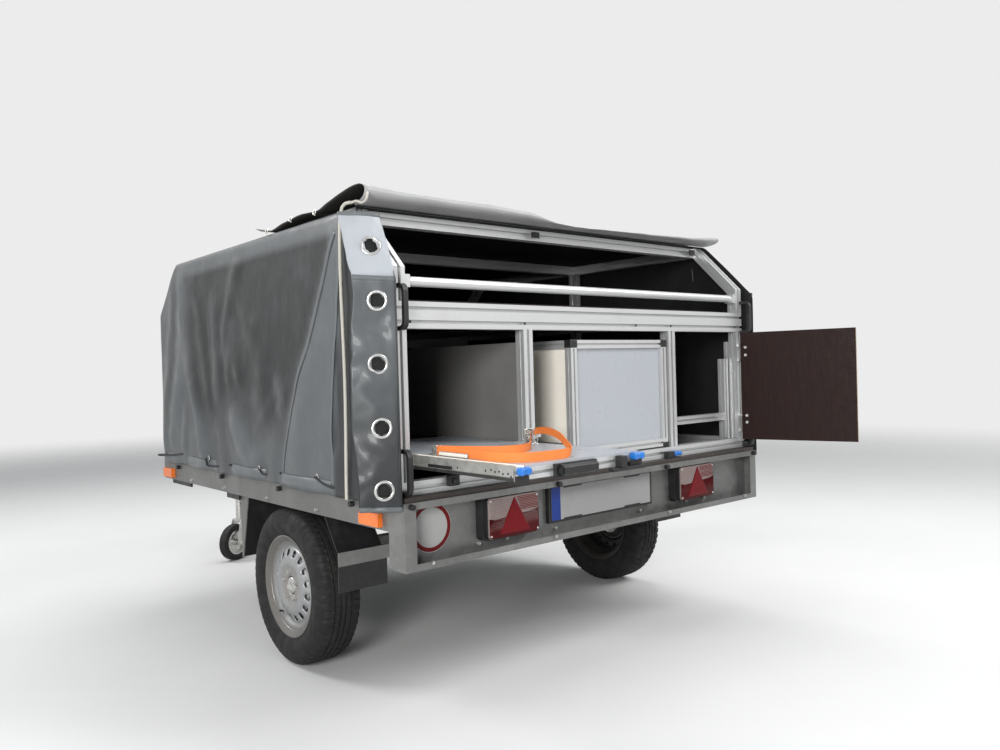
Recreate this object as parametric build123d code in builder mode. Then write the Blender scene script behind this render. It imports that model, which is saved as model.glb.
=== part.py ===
"""Single-axle box trailer with a slotted aluminium kitchen frame and a fabric canopy.

The origin is the centre of the coupling's ball socket. X points right, Y to the front, Z up.
Places on the bed are given from its middle, its rear face and the ground, through at().
"""
import math
import os
from itertools import pairwise

from build123d import *

# Overall sizes
BED_WIDTH = 1784.0
BED_LENGTH = 2011.0
BALL_HEIGHT = 430.0
DRAWBAR_REACH = 1050.0
REAR = -(DRAWBAR_REACH + BED_LENGTH)
GROUND = -BALL_HEIGHT
HALF = BED_WIDTH / 2

# Clearances
SEAT = 0.3
RUNNING = 0.06
FREE = 6.0

# Galvanised bed frame
RAIL_TOP = 661.0
RAIL_HEIGHT = 89.0
RAIL_FLANGE = 40.0
RAIL_LIP = 10.0
SHEET = 3.0
REAR_HEIGHT = 198.0
REAR_DEPTH = 55.0
REAR_LIP = 20.0
CORNER_WIDTH = 40.0
CORNER_SIDE = 84.0
CORNER_CHAMFER = 18.0
FLOOR_THICK = 15.0
FLOOR_INSET = 6.0
RAIL_BOTTOM = RAIL_TOP - RAIL_HEIGHT
FLOOR_TOP = RAIL_TOP + FLOOR_THICK

# Slotted aluminium frame
PROFILE = 40.0
SLOT_WIDTH = 10.0
SLOT_LIP = 4.5
SLOT_INNER = 16.0
SLOT_DEPTH = 10.0
FRAME_INSET = 42.0
FRAME_SIDE_GAP = 14.0
LEFT_BAY = 520.0
RIGHT_BAY = 479.0
POST_TOP = 1346.0
ROOF_TOP = 1544.0
RAKE_RUN = 198.0
DECK_BEAM_BOTTOM = 1165.0
TUBE_RADIUS = 15.0
TUBE_Z = 1305.0
TUBE_CLAMP = 18.0
DECK_THICK = 12.0
PANEL_THICK = 8.0
PARTITION_TOP = 1125.0
SIDE_FRAME_BAR = 30.0
SIDE_FRAME_STEP = 48.0
SIDE_FRAME_LOW = 808.0
SIDE_FRAME_MID = 1052.0
SIDE_FRAME_TOP = 1125.0
FRAME_HALF = HALF - FRAME_SIDE_GAP
LEFT_POST_X = -FRAME_HALF + LEFT_BAY
RIGHT_POST_X = FRAME_HALF - RIGHT_BAY
MID_Y = BED_LENGTH / 2
FRAME_REAR = FRAME_INSET
FRAME_FRONT = BED_LENGTH - FRAME_INSET
SIDE_BAR_X = FRAME_HALF - PROFILE / 2
LOWER_BEAM_TOP = FLOOR_TOP + PROFILE
DECK_BEAM_TOP = DECK_BEAM_BOTTOM + 2 * PROFILE

# Canopy
CLOTH = 4.0
CANOPY_X = HALF + SEAT
CANOPY_BOTTOM = 648.0
CANOPY_KNEE = 1322.0
LAPEL_WIDTH = 120.0
LAPEL_TOP = 1500.0
FLAP_OVERHANG = 70.0
FLAP_FRONT = 950.0
FLAP_HEIGHT = 44.0
FLAP_THICK = 6.0

# Wheels, axle and drawbar
WHEEL_Y = 788.0
TYRE_RADIUS = 281.0
TYRE_WIDTH = 165.0
RIM_LIP = 182.0
RIM_SEAT = 165.0
RIM_OFFSET = 30.0
WHEEL_INSET = 84.0
HUB_BORE = 20.0
HUB_RADIUS = 48.0
WHEEL_BOLTS = 4
BOLT_CIRCLE = 49.0
ARM_LENGTH = 160.0
ARM_RISE = 45.0
AXLE_ACROSS = 80.0
DRAWBAR_WIDTH = 60.0
DRAWBAR_INSET = 292.0
DRAWBAR_BEND_Y = 1800.0
DRAWBAR_TAIL_Y = 700.0
DRAWBAR_NOSE_X = 55.0
DRAWBAR_NOSE_GAP = 110.0
BALL_RADIUS = 25.2
WHEEL_X = HALF - WHEEL_INSET
DRAWBAR_BEND_X = HALF - DRAWBAR_INSET

# Jockey wheel
JOCKEY_ALONG = 2575.0
JOCKEY_OUTER = 24.0
JOCKEY_INNER = 21.0
JOCKEY_WHEEL_RADIUS = 100.0
JOCKEY_WHEEL_WIDTH = 50.0
JOCKEY_TRAIL = 40.0
JOCKEY_HEADING = 202.0
JOCKEY_PIN = 6.0
SWIVEL_PIN = 10.0

# Drawers, cabinet and door
TRAY_FRONT = -440.0
TRAY_LENGTH = 900.0
TRAY_TOP = 792.0
TRAY_BAR = 30.0
SLIDE_WIDTH = 12.7
SLIDE_HEIGHT = 45.0
SLIDE_WALL = 2.0
SLIDE_LENGTH = 900.0
CABINET_WIDTH = 522.0
CABINET_DEPTH = 700.0
CABINET_TOP = 1131.0
CABINET_BAR = 30.0
DOOR_WIDTH = 457.0
DOOR_HEIGHT = 448.0
DOOR_BOTTOM = 712.0
DOOR_THICK = 12.0
DOOR_OPEN = 105.0
HINGE_INSET = 32.0
HINGE_RADIUS = 5.0
HINGE_X = FRAME_HALF - HINGE_INSET

os.makedirs("parts", exist_ok=True)


def at(x, y, z):
    """A point given from the bed's middle, its rear face and the ground."""
    return (x, REAR + y, GROUND + z)


def save(name, piece):
    """Labels a finished piece and writes it as its own file."""
    piece.part.label = name
    export_step(piece.part, f"parts/{name}.step")


def block(low, high, mode=Mode.ADD):
    """Adds a box between two opposite corners to the open part, or takes it away."""
    low, high = at(*low), at(*high)
    middle = tuple((a + b) / 2 for a, b in zip(low, high))
    with Locations(middle):
        Box(*[b - a for a, b in zip(low, high)], mode=mode)


def side_plane(x):
    """A plane across the trailer at x; its own axes run to the front and up."""
    return Plane(origin=at(x, 0, 0), x_dir=(0, 1, 0), z_dir=(1, 0, 0))


def plate(points, x, thickness):
    """Adds an upright plate, its outline given as (y, z), from x inward to x + thickness."""
    with BuildSketch(side_plane(x)) as outline:
        with BuildLine():
            Polyline(*points, close=True)
        make_face()
    extrude(outline.sketch, amount=thickness)


AXES = {"x": ((0, 1, 0), (1, 0, 0)), "y": ((1, 0, 0), (0, 1, 0)), "z": ((1, 0, 0), (0, 0, 1))}


def bar(along, start, length, cells=1, size=PROFILE):
    """Adds a bar with an undercut slot in each side, of one or two square cells in height."""
    share = size / PROFILE
    mouth, lip, inner, deep = (share * slot for slot in (SLOT_WIDTH, SLOT_LIP, SLOT_INNER, SLOT_DEPTH))
    x_dir, z_dir = AXES[along]
    with BuildSketch(Plane(origin=at(*start), x_dir=x_dir, z_dir=z_dir)) as section:
        Rectangle(size, size * cells)
        with GridLocations(size, size, 2, cells):
            Rectangle(2 * deep, mouth, mode=Mode.SUBTRACT)
        with GridLocations(size - lip - deep, size, 2, cells):
            Rectangle(deep - lip, inner, mode=Mode.SUBTRACT)
        with GridLocations(size, size * cells, 1, 2):
            Rectangle(mouth, 2 * deep, mode=Mode.SUBTRACT)
        with GridLocations(size, size * cells - lip - deep, 1, 2):
            Rectangle(inner, deep - lip, mode=Mode.SUBTRACT)
    extrude(section.sketch, amount=length)


# Rear crossmember: a lipped channel open to the rear, with an angle at each corner
LOW = RAIL_TOP - REAR_HEIGHT
channel = [
    # y, z
    (0, RAIL_TOP), (REAR_DEPTH, RAIL_TOP), (REAR_DEPTH, LOW), (0, LOW), (0, LOW + REAR_LIP),
    (SHEET, LOW + REAR_LIP), (SHEET, LOW + SHEET), (REAR_DEPTH - SHEET, LOW + SHEET),
    (REAR_DEPTH - SHEET, RAIL_TOP - SHEET), (SHEET, RAIL_TOP - SHEET),
    (SHEET, RAIL_TOP - REAR_LIP), (0, RAIL_TOP - REAR_LIP),
]
corner_side = [
    # y, z
    (0, RAIL_TOP), (CORNER_SIDE, RAIL_TOP), (CORNER_SIDE, LOW + CORNER_CHAMFER),
    (CORNER_SIDE - CORNER_CHAMFER, LOW), (0, LOW),
]
with BuildPart() as rear_crossmember:
    plate(channel, -HALF, BED_WIDTH)
    for x in (-HALF, HALF - SHEET):
        plate(corner_side, x, SHEET)
    for x in (-HALF, HALF - CORNER_WIDTH):
        block((x, 0, LOW), (x + CORNER_WIDTH, SHEET, RAIL_TOP))
save("rear_crossmember", rear_crossmember)

# Side rails: a web outside, a wide flange under the floor and a small lip below
rail_section = [
    # x, z
    (HALF, RAIL_TOP), (HALF - RAIL_FLANGE, RAIL_TOP), (HALF - RAIL_FLANGE, RAIL_TOP - SHEET),
    (HALF - SHEET, RAIL_TOP - SHEET), (HALF - SHEET, RAIL_BOTTOM + SHEET),
    (HALF - RAIL_LIP, RAIL_BOTTOM + SHEET), (HALF - RAIL_LIP, RAIL_BOTTOM), (HALF, RAIL_BOTTOM),
]
with BuildPart() as side_rails:
    for side in (-1, 1):
        with BuildSketch(Plane(origin=at(0, CORNER_SIDE, 0), x_dir=(1, 0, 0), z_dir=(0, -1, 0))):
            with BuildLine():
                Polyline(*[(side * x, z) for x, z in rail_section], close=True)
            make_face()
        extrude(amount=-(BED_LENGTH - CORNER_SIDE - SHEET))
save("side_rails", side_rails)

# Front rail: a channel open to the rear
front_section = [
    # y, z
    (BED_LENGTH, RAIL_TOP), (BED_LENGTH, RAIL_BOTTOM), (BED_LENGTH - RAIL_FLANGE, RAIL_BOTTOM),
    (BED_LENGTH - RAIL_FLANGE, RAIL_BOTTOM + SHEET), (BED_LENGTH - SHEET, RAIL_BOTTOM + SHEET),
    (BED_LENGTH - SHEET, RAIL_TOP - SHEET), (BED_LENGTH - RAIL_FLANGE, RAIL_TOP - SHEET),
    (BED_LENGTH - RAIL_FLANGE, RAIL_TOP),
]
with BuildPart() as front_rail:
    plate(front_section, -HALF + RAIL_FLANGE, BED_WIDTH - 2 * RAIL_FLANGE)
    for x in (-HALF, HALF - RAIL_FLANGE):
        block((x, BED_LENGTH - SHEET, RAIL_BOTTOM), (x + RAIL_FLANGE, BED_LENGTH, RAIL_TOP))
save("front_rail", front_rail)

# Floor bearers: channels across, between the side rails' webs and under the floor
BEARERS = (420.0, 1180.0, 1600.0)
BEARER_WIDTH = 50.0
BEARER_PAST_ARM = 10.0
BEARER_HALF = DRAWBAR_BEND_X + DRAWBAR_WIDTH / 2 + BEARER_PAST_ARM
with BuildPart() as floor_bearers:
    for y in BEARERS:
        block((-BEARER_HALF, y, RAIL_BOTTOM), (BEARER_HALF, y + BEARER_WIDTH, RAIL_TOP))
        block((-HALF + SHEET, y, RAIL_TOP - RAIL_FLANGE), (HALF - SHEET, y + BEARER_WIDTH, RAIL_TOP - SHEET))
save("floor_bearers", floor_bearers)

with BuildPart() as floor_panel:
    block((-HALF + FLOOR_INSET, FLOOR_INSET, RAIL_TOP),
          (HALF - FLOOR_INSET, BED_LENGTH - FLOOR_INSET, FLOOR_TOP))
save("floor_panel", floor_panel)

# Drawbar: two box-section arms from the coupling, bent to run along under the bed
ARM_TOP = RAIL_BOTTOM
ARM_BOTTOM = ARM_TOP - DRAWBAR_WIDTH
NOSE_Y = BED_LENGTH + DRAWBAR_REACH - DRAWBAR_NOSE_GAP
ARM_ANGLE = math.atan2(DRAWBAR_BEND_X - DRAWBAR_NOSE_X, NOSE_Y - DRAWBAR_BEND_Y)
ARM_HALF_X = DRAWBAR_WIDTH / 2 / math.cos(ARM_ANGLE)
ARM_BEND_SHIFT = DRAWBAR_WIDTH / 2 * math.tan(ARM_ANGLE / 2)


def arm_x(y):
    """Distance of the sloping arm's middle line from the trailer's middle at y."""
    return DRAWBAR_BEND_X - (y - DRAWBAR_BEND_Y) * math.tan(ARM_ANGLE)


arm_outline = [
    # x, y
    (DRAWBAR_BEND_X + DRAWBAR_WIDTH / 2, DRAWBAR_TAIL_Y),
    (DRAWBAR_BEND_X + DRAWBAR_WIDTH / 2, DRAWBAR_BEND_Y + ARM_BEND_SHIFT),
    (DRAWBAR_NOSE_X + ARM_HALF_X, NOSE_Y), (DRAWBAR_NOSE_X - ARM_HALF_X, NOSE_Y),
    (DRAWBAR_BEND_X - DRAWBAR_WIDTH / 2, DRAWBAR_BEND_Y - ARM_BEND_SHIFT),
    (DRAWBAR_BEND_X - DRAWBAR_WIDTH / 2, DRAWBAR_TAIL_Y),
]
with BuildPart() as drawbar_arms:
    for side in (-1, 1):
        with BuildSketch(Plane(origin=at(0, 0, ARM_BOTTOM))):
            with BuildLine():
                Polyline(*[(side * x, y) for x, y in arm_outline], close=True)
            make_face()
        extrude(amount=DRAWBAR_WIDTH)
save("drawbar_arms", drawbar_arms)

# Coupling: a plate under the arms, a pressed neck that drops and narrows to the cup
NECK_WIDTH = 60.0
NECK_REAR_WIDTH = 84.0
NECK_TOP = 34.0
NECK_REACH = 45.0
CUP_RADIUS = 36.0
CUP_HEIGHT = 44.0
CUP_SKIRT = 16.0
CUP_ROUND = 12.0
CUP_TOP = CUP_HEIGHT - CUP_SKIRT
BALL_LIFT = 2.0
NECK_FRONT = -(CUP_RADIUS - 6)
PLATE_THICK = 8.0
PLATE_OVERHANG = 60.0
PLATE_BORDER = 20.0
PLATE_TOP = ARM_BOTTOM - BALL_HEIGHT
NECK_REAR = -DRAWBAR_NOSE_GAP - PLATE_OVERHANG
with BuildPart() as cup:
    with BuildSketch(Plane.XY.offset(-CUP_SKIRT)):
        Circle(CUP_RADIUS)
    extrude(amount=CUP_HEIGHT)
    fillet(cup.faces().sort_by(Axis.Z)[-1].edges(), CUP_ROUND)

with BuildPart() as coupling_head:
    with BuildSketch(Plane.YZ):
        with BuildLine():
            Polyline(
                (NECK_FRONT, -8), (NECK_FRONT, CUP_TOP - 4), (-NECK_REACH, NECK_TOP),
                (-DRAWBAR_NOSE_GAP + 10, PLATE_TOP),
                (NECK_REAR, PLATE_TOP), (NECK_REAR, PLATE_TOP - PLATE_THICK),
                (-DRAWBAR_NOSE_GAP - 10, PLATE_TOP - 30), (-NECK_REACH, -8), close=True,
            )
        make_face()
    extrude(amount=NECK_REAR_WIDTH / 2, both=True)
    with BuildSketch(Plane.XY.offset(-CUP_SKIRT)) as neck:
        with BuildLine():
            Polyline(
                (-CUP_RADIUS / 2, NECK_FRONT), (-NECK_WIDTH / 2, -NECK_REACH),
                (-NECK_REAR_WIDTH / 2, NECK_REAR),
                (NECK_REAR_WIDTH / 2, NECK_REAR), (NECK_WIDTH / 2, -NECK_REACH), (CUP_RADIUS / 2, NECK_FRONT),
                close=True,
            )
        make_face()
    extrude(neck.sketch, amount=PLATE_TOP + CUP_SKIRT, mode=Mode.INTERSECT)
    add(cup.part)
    with Locations((0, NECK_REAR, PLATE_TOP - PLATE_THICK / 2)):
        Box(2 * (DRAWBAR_NOSE_X + ARM_HALF_X + PLATE_BORDER), 2 * PLATE_OVERHANG - 10, PLATE_THICK)
    with BuildSketch(Plane.XY.offset(-CUP_SKIRT)):
        Circle(BALL_RADIUS)
    extrude(amount=CUP_SKIRT + BALL_LIFT, mode=Mode.SUBTRACT)
    with Locations((0, 0, BALL_LIFT)):
        Sphere(BALL_RADIUS, mode=Mode.SUBTRACT)
save("coupling_head", coupling_head)

# Handle: a lever that lies along the neck, wider at its grip
LEVER_ACROSS = 24.0
GRIP_LENGTH = 60.0
GRIP_WIDTH = 34.0
GRIP_ROUND = 5.0
LEVER_RISE = 30.0
with BuildPart() as coupling_handle:
    with BuildSketch(Plane.YZ):
        with BuildLine():
            Polyline((4, CUP_TOP + SEAT), (-8, CUP_TOP + SEAT), (-46, NECK_TOP + 2), (-104, PLATE_TOP + 4),
                     (-160, PLATE_TOP + LEVER_RISE), (-160, PLATE_TOP + LEVER_RISE + 12),
                     (-100, PLATE_TOP + 18),
                     (-46, NECK_TOP + 20), (4, CUP_TOP + 16), close=True)
        make_face()
    extrude(amount=LEVER_ACROSS / 2, both=True)
    with Locations((0, -160 - GRIP_LENGTH / 2, PLATE_TOP + LEVER_RISE + 6)):
        Box(GRIP_WIDTH, GRIP_LENGTH, 18)
    fillet(coupling_handle.edges().group_by(Axis.Y)[0], GRIP_ROUND)
save("coupling_handle", coupling_handle)

# Axle: a six-sided beam ahead of the wheels, hung from the arms by plates
AXLE_Y = WHEEL_Y + ARM_LENGTH
AXLE_Z = TYRE_RADIUS + ARM_RISE
AXLE_PLAY = 118.0
AXLE_HALF = WHEEL_X - AXLE_PLAY
BRACKET = 8.0
with BuildPart() as axle_beam:
    with BuildSketch(side_plane(-AXLE_HALF)):
        with Locations((AXLE_Y, AXLE_Z)):
            RegularPolygon(AXLE_ACROSS / 2, 6, major_radius=False)
    extrude(amount=2 * AXLE_HALF)
    for x in (-DRAWBAR_BEND_X, DRAWBAR_BEND_X):
        block((x - DRAWBAR_WIDTH / 2, AXLE_Y - 60, AXLE_Z),
              (x - DRAWBAR_WIDTH / 2 + BRACKET, AXLE_Y + 60, ARM_BOTTOM))
        block((x + DRAWBAR_WIDTH / 2 - BRACKET, AXLE_Y - 60, AXLE_Z),
              (x + DRAWBAR_WIDTH / 2, AXLE_Y + 60, ARM_BOTTOM))
        block((x - DRAWBAR_WIDTH / 2, AXLE_Y - 60, ARM_BOTTOM - BRACKET),
              (x + DRAWBAR_WIDTH / 2, AXLE_Y + 60, ARM_BOTTOM))
save("axle_beam", axle_beam)

# Trailing arms with stub axles, hubs, rims and tyres, once for each side
ARM_THICK = 26.0
ARM_ROUND = 34.0
HUB_FACE = WHEEL_X + RIM_OFFSET
HUB_LENGTH = 72.0
HUB_FLANGE = 64.0
FLANGE_THICK = 12.0
HUB_CAP = 29.0
CAP_REACH = 22.0
RIM_HALF = 70.0
DISC_THICK = 4.0
BEAD = RIM_HALF - 15
BARREL_RADIUS = 143.0
BARREL_WALL = 5.0
VENT_HOLES = 16
VENT_RADIUS = 10.5
VENT_CIRCLE = 127.0
VENT_SIDES = 12
WHEEL_BOLT_ACROSS = 17.0
WHEEL_BOLT_HEIGHT = 12.0
TREAD_HALF = TYRE_WIDTH / 2 - 20
SIDEWALL_FOOT = RIM_LIP + 5
SHOULDER = TYRE_RADIUS - 36
rim_outline = [
    # distance along the axle from the rim's middle, radius
    (-RIM_HALF, RIM_LIP), (-BEAD - 1, RIM_SEAT), (-18, BARREL_RADIUS), (26, BARREL_RADIUS),
    (BEAD + 1, RIM_SEAT),
    (RIM_HALF, RIM_LIP), (RIM_HALF, RIM_LIP - BARREL_WALL), (BEAD + 3, RIM_SEAT - BARREL_WALL),
    (28, BARREL_RADIUS - BARREL_WALL), (-20, BARREL_RADIUS - BARREL_WALL),
    (-BEAD - 3, RIM_SEAT - BARREL_WALL),
    (-RIM_HALF, RIM_LIP - BARREL_WALL),
]
disc_outline = [
    # distance along the axle from the rim's middle, radius
    (36, BARREL_RADIUS + 3), (36, 114), (46, 104), (46, 96), (RIM_OFFSET + DISC_THICK, 70),
    (RIM_OFFSET + DISC_THICK, 30), (RIM_OFFSET, 30), (RIM_OFFSET, 72), (41, 98), (41, 102), (31, 113),
    (31, BARREL_RADIUS),
]
tyre_outline = [
    # distance along the axle from the rim's middle, radius
    (-BEAD, RIM_SEAT + SEAT), (-BEAD, SIDEWALL_FOOT), (-TYRE_WIDTH / 2, SIDEWALL_FOOT),
    (-TYRE_WIDTH / 2, SHOULDER),
    (-TREAD_HALF, TYRE_RADIUS), (TREAD_HALF, TYRE_RADIUS), (TYRE_WIDTH / 2, SHOULDER),
    (TYRE_WIDTH / 2, SIDEWALL_FOOT), (BEAD, SIDEWALL_FOOT), (BEAD, RIM_SEAT + SEAT),
]


def turned(points, side, mode=Mode.ADD):
    """Adds a ring turned about the wheel's axle, from (distance outward, radius) points."""
    centre = Plane(origin=at(side * WHEEL_X, WHEEL_Y, TYRE_RADIUS), x_dir=(side, 0, 0), z_dir=(0, -side, 0))
    with BuildSketch(centre) as section:
        with BuildLine():
            Polyline(*points, close=True)
        make_face()
    revolve(section.sketch, axis=Axis(centre.origin, centre.x_dir), mode=mode)


def wheel_plane(side):
    """The plane across a wheel's middle, facing outward; its axes run forward and up or down."""
    return Plane(origin=at(side * WHEEL_X, WHEEL_Y, TYRE_RADIUS), x_dir=(0, side, 0), z_dir=(side, 0, 0))


with BuildPart() as axle_arms:
    for side in (-1, 1):
        out = wheel_plane(side)
        ahead = (side * ARM_LENGTH, ARM_RISE)
        with BuildSketch(out.offset(AXLE_HALF + SEAT - WHEEL_X)):
            with BuildLine():
                Polyline((0, -ARM_ROUND), (0, ARM_ROUND), (side * ARM_LENGTH, ARM_RISE + ARM_ROUND),
                         (side * ARM_LENGTH, ARM_RISE - ARM_ROUND), close=True)
            make_face()
            with Locations((0, 0), ahead):
                Circle(ARM_ROUND)
        extrude(amount=ARM_THICK)
        with BuildSketch(out.offset(AXLE_HALF + SEAT + ARM_THICK - WHEEL_X)):
            Circle(HUB_BORE - RUNNING)
        extrude(amount=HUB_FACE - AXLE_HALF - ARM_THICK - 20)
save("axle_arms", axle_arms)

for name, side in (("left", -1), ("right", 1)):
    out = wheel_plane(side)
    with BuildPart() as hub:
        with BuildSketch(out.offset(RIM_OFFSET - HUB_LENGTH)):
            Circle(HUB_RADIUS)
        extrude(amount=HUB_LENGTH - FLANGE_THICK)
        with BuildSketch(out.offset(RIM_OFFSET - FLANGE_THICK)):
            Circle(HUB_FLANGE)
        extrude(amount=FLANGE_THICK)
        with BuildSketch(out.offset(RIM_OFFSET)):
            Circle(HUB_CAP)
        extrude(amount=CAP_REACH)
        chamfer(hub.faces().sort_by(Axis((0, 0, 0), out.z_dir))[-1].edges(), CAP_REACH / 3)
        with BuildSketch(out.offset(RIM_OFFSET - HUB_LENGTH)):
            Circle(HUB_BORE)
        extrude(amount=HUB_LENGTH - 10, mode=Mode.SUBTRACT)
    save(f"hub_{name}", hub)

    with BuildPart() as rim:
        turned(rim_outline, side)
        turned(disc_outline, side)
        with BuildSketch(out.offset(-RIM_HALF)):
            with PolarLocations(VENT_CIRCLE, VENT_HOLES, start_angle=180 / VENT_HOLES):
                RegularPolygon(VENT_RADIUS, VENT_SIDES)
        extrude(amount=2 * RIM_HALF, mode=Mode.SUBTRACT)
        with BuildSketch(out.offset(RIM_OFFSET + DISC_THICK)):
            with PolarLocations(BOLT_CIRCLE, WHEEL_BOLTS, start_angle=45):
                RegularPolygon(WHEEL_BOLT_ACROSS / 2, 6, major_radius=False)
        extrude(amount=WHEEL_BOLT_HEIGHT)
    save(f"rim_{name}", rim)

    with BuildPart() as tyre:
        turned(tyre_outline, side)
    save(f"tyre_{name}", tyre)


# Mudguards: a sheet bent over each wheel with straight tails, and a flap hung behind the front tail
GUARD_THICK = 4.0
GUARD_BEND = 150.0
GUARD_INNER = WHEEL_X - TYRE_WIDTH / 2 - 14
GUARD_OUTER = HALF - RAIL_LIP - SEAT - 4
guard_path = [
    # y ahead of the axle, z above the ground
    (TYRE_RADIUS + 91, 49), (TYRE_RADIUS + 19, 355), (-TYRE_RADIUS + 41, 355), (-TYRE_RADIUS - 107, 149),
]
MUDFLAP = ((704.0, 888.0), (396.0, 400.0), (330.0, 461.0))
with BuildPart() as mudguards:
    for side in (-1, 1):
        with BuildSketch(side_plane(side * GUARD_INNER)) as section:
            with BuildLine():
                FilletPolyline(*[(WHEEL_Y + y, TYRE_RADIUS + z) for y, z in guard_path], radius=GUARD_BEND)
            trace(line_width=GUARD_THICK)
        extrude(section.sketch, amount=side * (GUARD_OUTER - GUARD_INNER))
        (near, far), (rear, front), (low, high) = MUDFLAP
        block((min(side * near, side * far), rear, low), (max(side * near, side * far), front, high))
save("mudguards", mudguards)

# Stays: a plate from each side rail down the guard's front tail, a strip behind its rear tail
STAY_THICK = 4.0
STAY_RISE = 30.0
STAY_INNER = 600.0
HANGER_WIDTH = 40.0
HANGER_TOP = 596.0
side_stay = [
    # y, z
    (1166, RAIL_BOTTOM + STAY_RISE), (1166, 328), (1155, 328), (1100, 550), (1098, RAIL_BOTTOM + STAY_RISE),
]
with BuildPart() as guard_stays:
    for side in (-1, 1):
        plate(side_stay, side * (GUARD_OUTER + SEAT), side * STAY_THICK)
        low, high = sorted((side * STAY_INNER, side * MUDFLAP[0][1]))
        rear = MUDFLAP[1][0]
        block((low, rear - STAY_THICK, 416), (high, rear, MUDFLAP[2][1]))
        low, high = sorted((side * STAY_INNER, side * (STAY_INNER + HANGER_WIDTH)))
        block((low, rear - STAY_THICK, MUDFLAP[2][1]), (high, rear, HANGER_TOP))
        block((low, rear - STAY_THICK, HANGER_TOP - STAY_THICK), (high, BEARERS[0], HANGER_TOP))
save("guard_stays", guard_stays)

# Jockey wheel: a clamped tube, a sliding leg, a swivelling fork and its wheel
CLAMP_WALL = 7.0
JOCKEY_X = -arm_x(JOCKEY_ALONG) - (DRAWBAR_WIDTH / 2 + JOCKEY_OUTER + CLAMP_WALL + SEAT) / math.cos(ARM_ANGLE)
JOCKEY_TUBE_LOW = 360.0
JOCKEY_TUBE_HIGH = 740.0
LEG_LOW = 226.0
LEG_RAISE = 120.0
TUBE_CAP = 6.0
LEG_HIGH = JOCKEY_TUBE_HIGH - TUBE_CAP - LEG_RAISE - FREE
FORK_THICK = 4.0
FORK_SIDE_GAP = 5.0
FORK_TOP = LEG_LOW - SEAT
PIN_BELOW = 22.0
CLAMP_WIDTH = 50.0
CRANK = 90.0
with BuildPart() as jockey_tube:
    with BuildSketch(Plane(origin=at(JOCKEY_X, JOCKEY_ALONG, JOCKEY_TUBE_LOW))):
        Circle(JOCKEY_OUTER)
    extrude(amount=JOCKEY_TUBE_HIGH - JOCKEY_TUBE_LOW)
    with BuildSketch(Plane(origin=at(JOCKEY_X, JOCKEY_ALONG, JOCKEY_TUBE_LOW))):
        Circle(JOCKEY_INNER + RUNNING)
    extrude(amount=JOCKEY_TUBE_HIGH - JOCKEY_TUBE_LOW - TUBE_CAP, mode=Mode.SUBTRACT)
    with BuildSketch(Plane(origin=at(JOCKEY_X, JOCKEY_ALONG, JOCKEY_TUBE_HIGH))):
        Circle(8)
    extrude(amount=30)
    with BuildSketch(Plane(origin=at(JOCKEY_X, JOCKEY_ALONG, JOCKEY_TUBE_HIGH + 30))):
        with Locations((0, CRANK / 2)):
            SlotOverall(CRANK + 22, 22, rotation=90)
    extrude(amount=6)
    with BuildSketch(Plane(origin=at(JOCKEY_X, JOCKEY_ALONG, JOCKEY_TUBE_HIGH + 36))):
        with Locations((0, CRANK)):
            Circle(11)
    extrude(amount=70)
save("jockey_tube", jockey_tube)

with BuildPart() as jockey_clamp:
    with BuildSketch(Plane(origin=at(JOCKEY_X, JOCKEY_ALONG, ARM_BOTTOM + 5))):
        Circle(JOCKEY_OUTER + CLAMP_WALL)
        with BuildLine():
            Polyline(*[(x, y) for x, y in (
                (0, -CLAMP_WIDTH / 2), (0, CLAMP_WIDTH / 2),
                (-JOCKEY_X - arm_x(JOCKEY_ALONG + CLAMP_WIDTH / 2) - ARM_HALF_X - SEAT, CLAMP_WIDTH / 2),
                (-JOCKEY_X - arm_x(JOCKEY_ALONG - CLAMP_WIDTH / 2) - ARM_HALF_X - SEAT, -CLAMP_WIDTH / 2),
            )], close=True)
        make_face()
        Circle(JOCKEY_OUTER + 0.05, mode=Mode.SUBTRACT)
    extrude(amount=CLAMP_WIDTH)
save("jockey_clamp", jockey_clamp)


with BuildPart() as jockey_leg:
    with BuildSketch(Plane(origin=at(JOCKEY_X, JOCKEY_ALONG, LEG_LOW))):
        Circle(JOCKEY_INNER)
    extrude(amount=LEG_HIGH - LEG_LOW)
    with BuildSketch(Plane(origin=at(JOCKEY_X, JOCKEY_ALONG, LEG_LOW - PIN_BELOW))):
        Circle(SWIVEL_PIN)
    extrude(amount=PIN_BELOW)
save("jockey_leg", jockey_leg)

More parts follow.
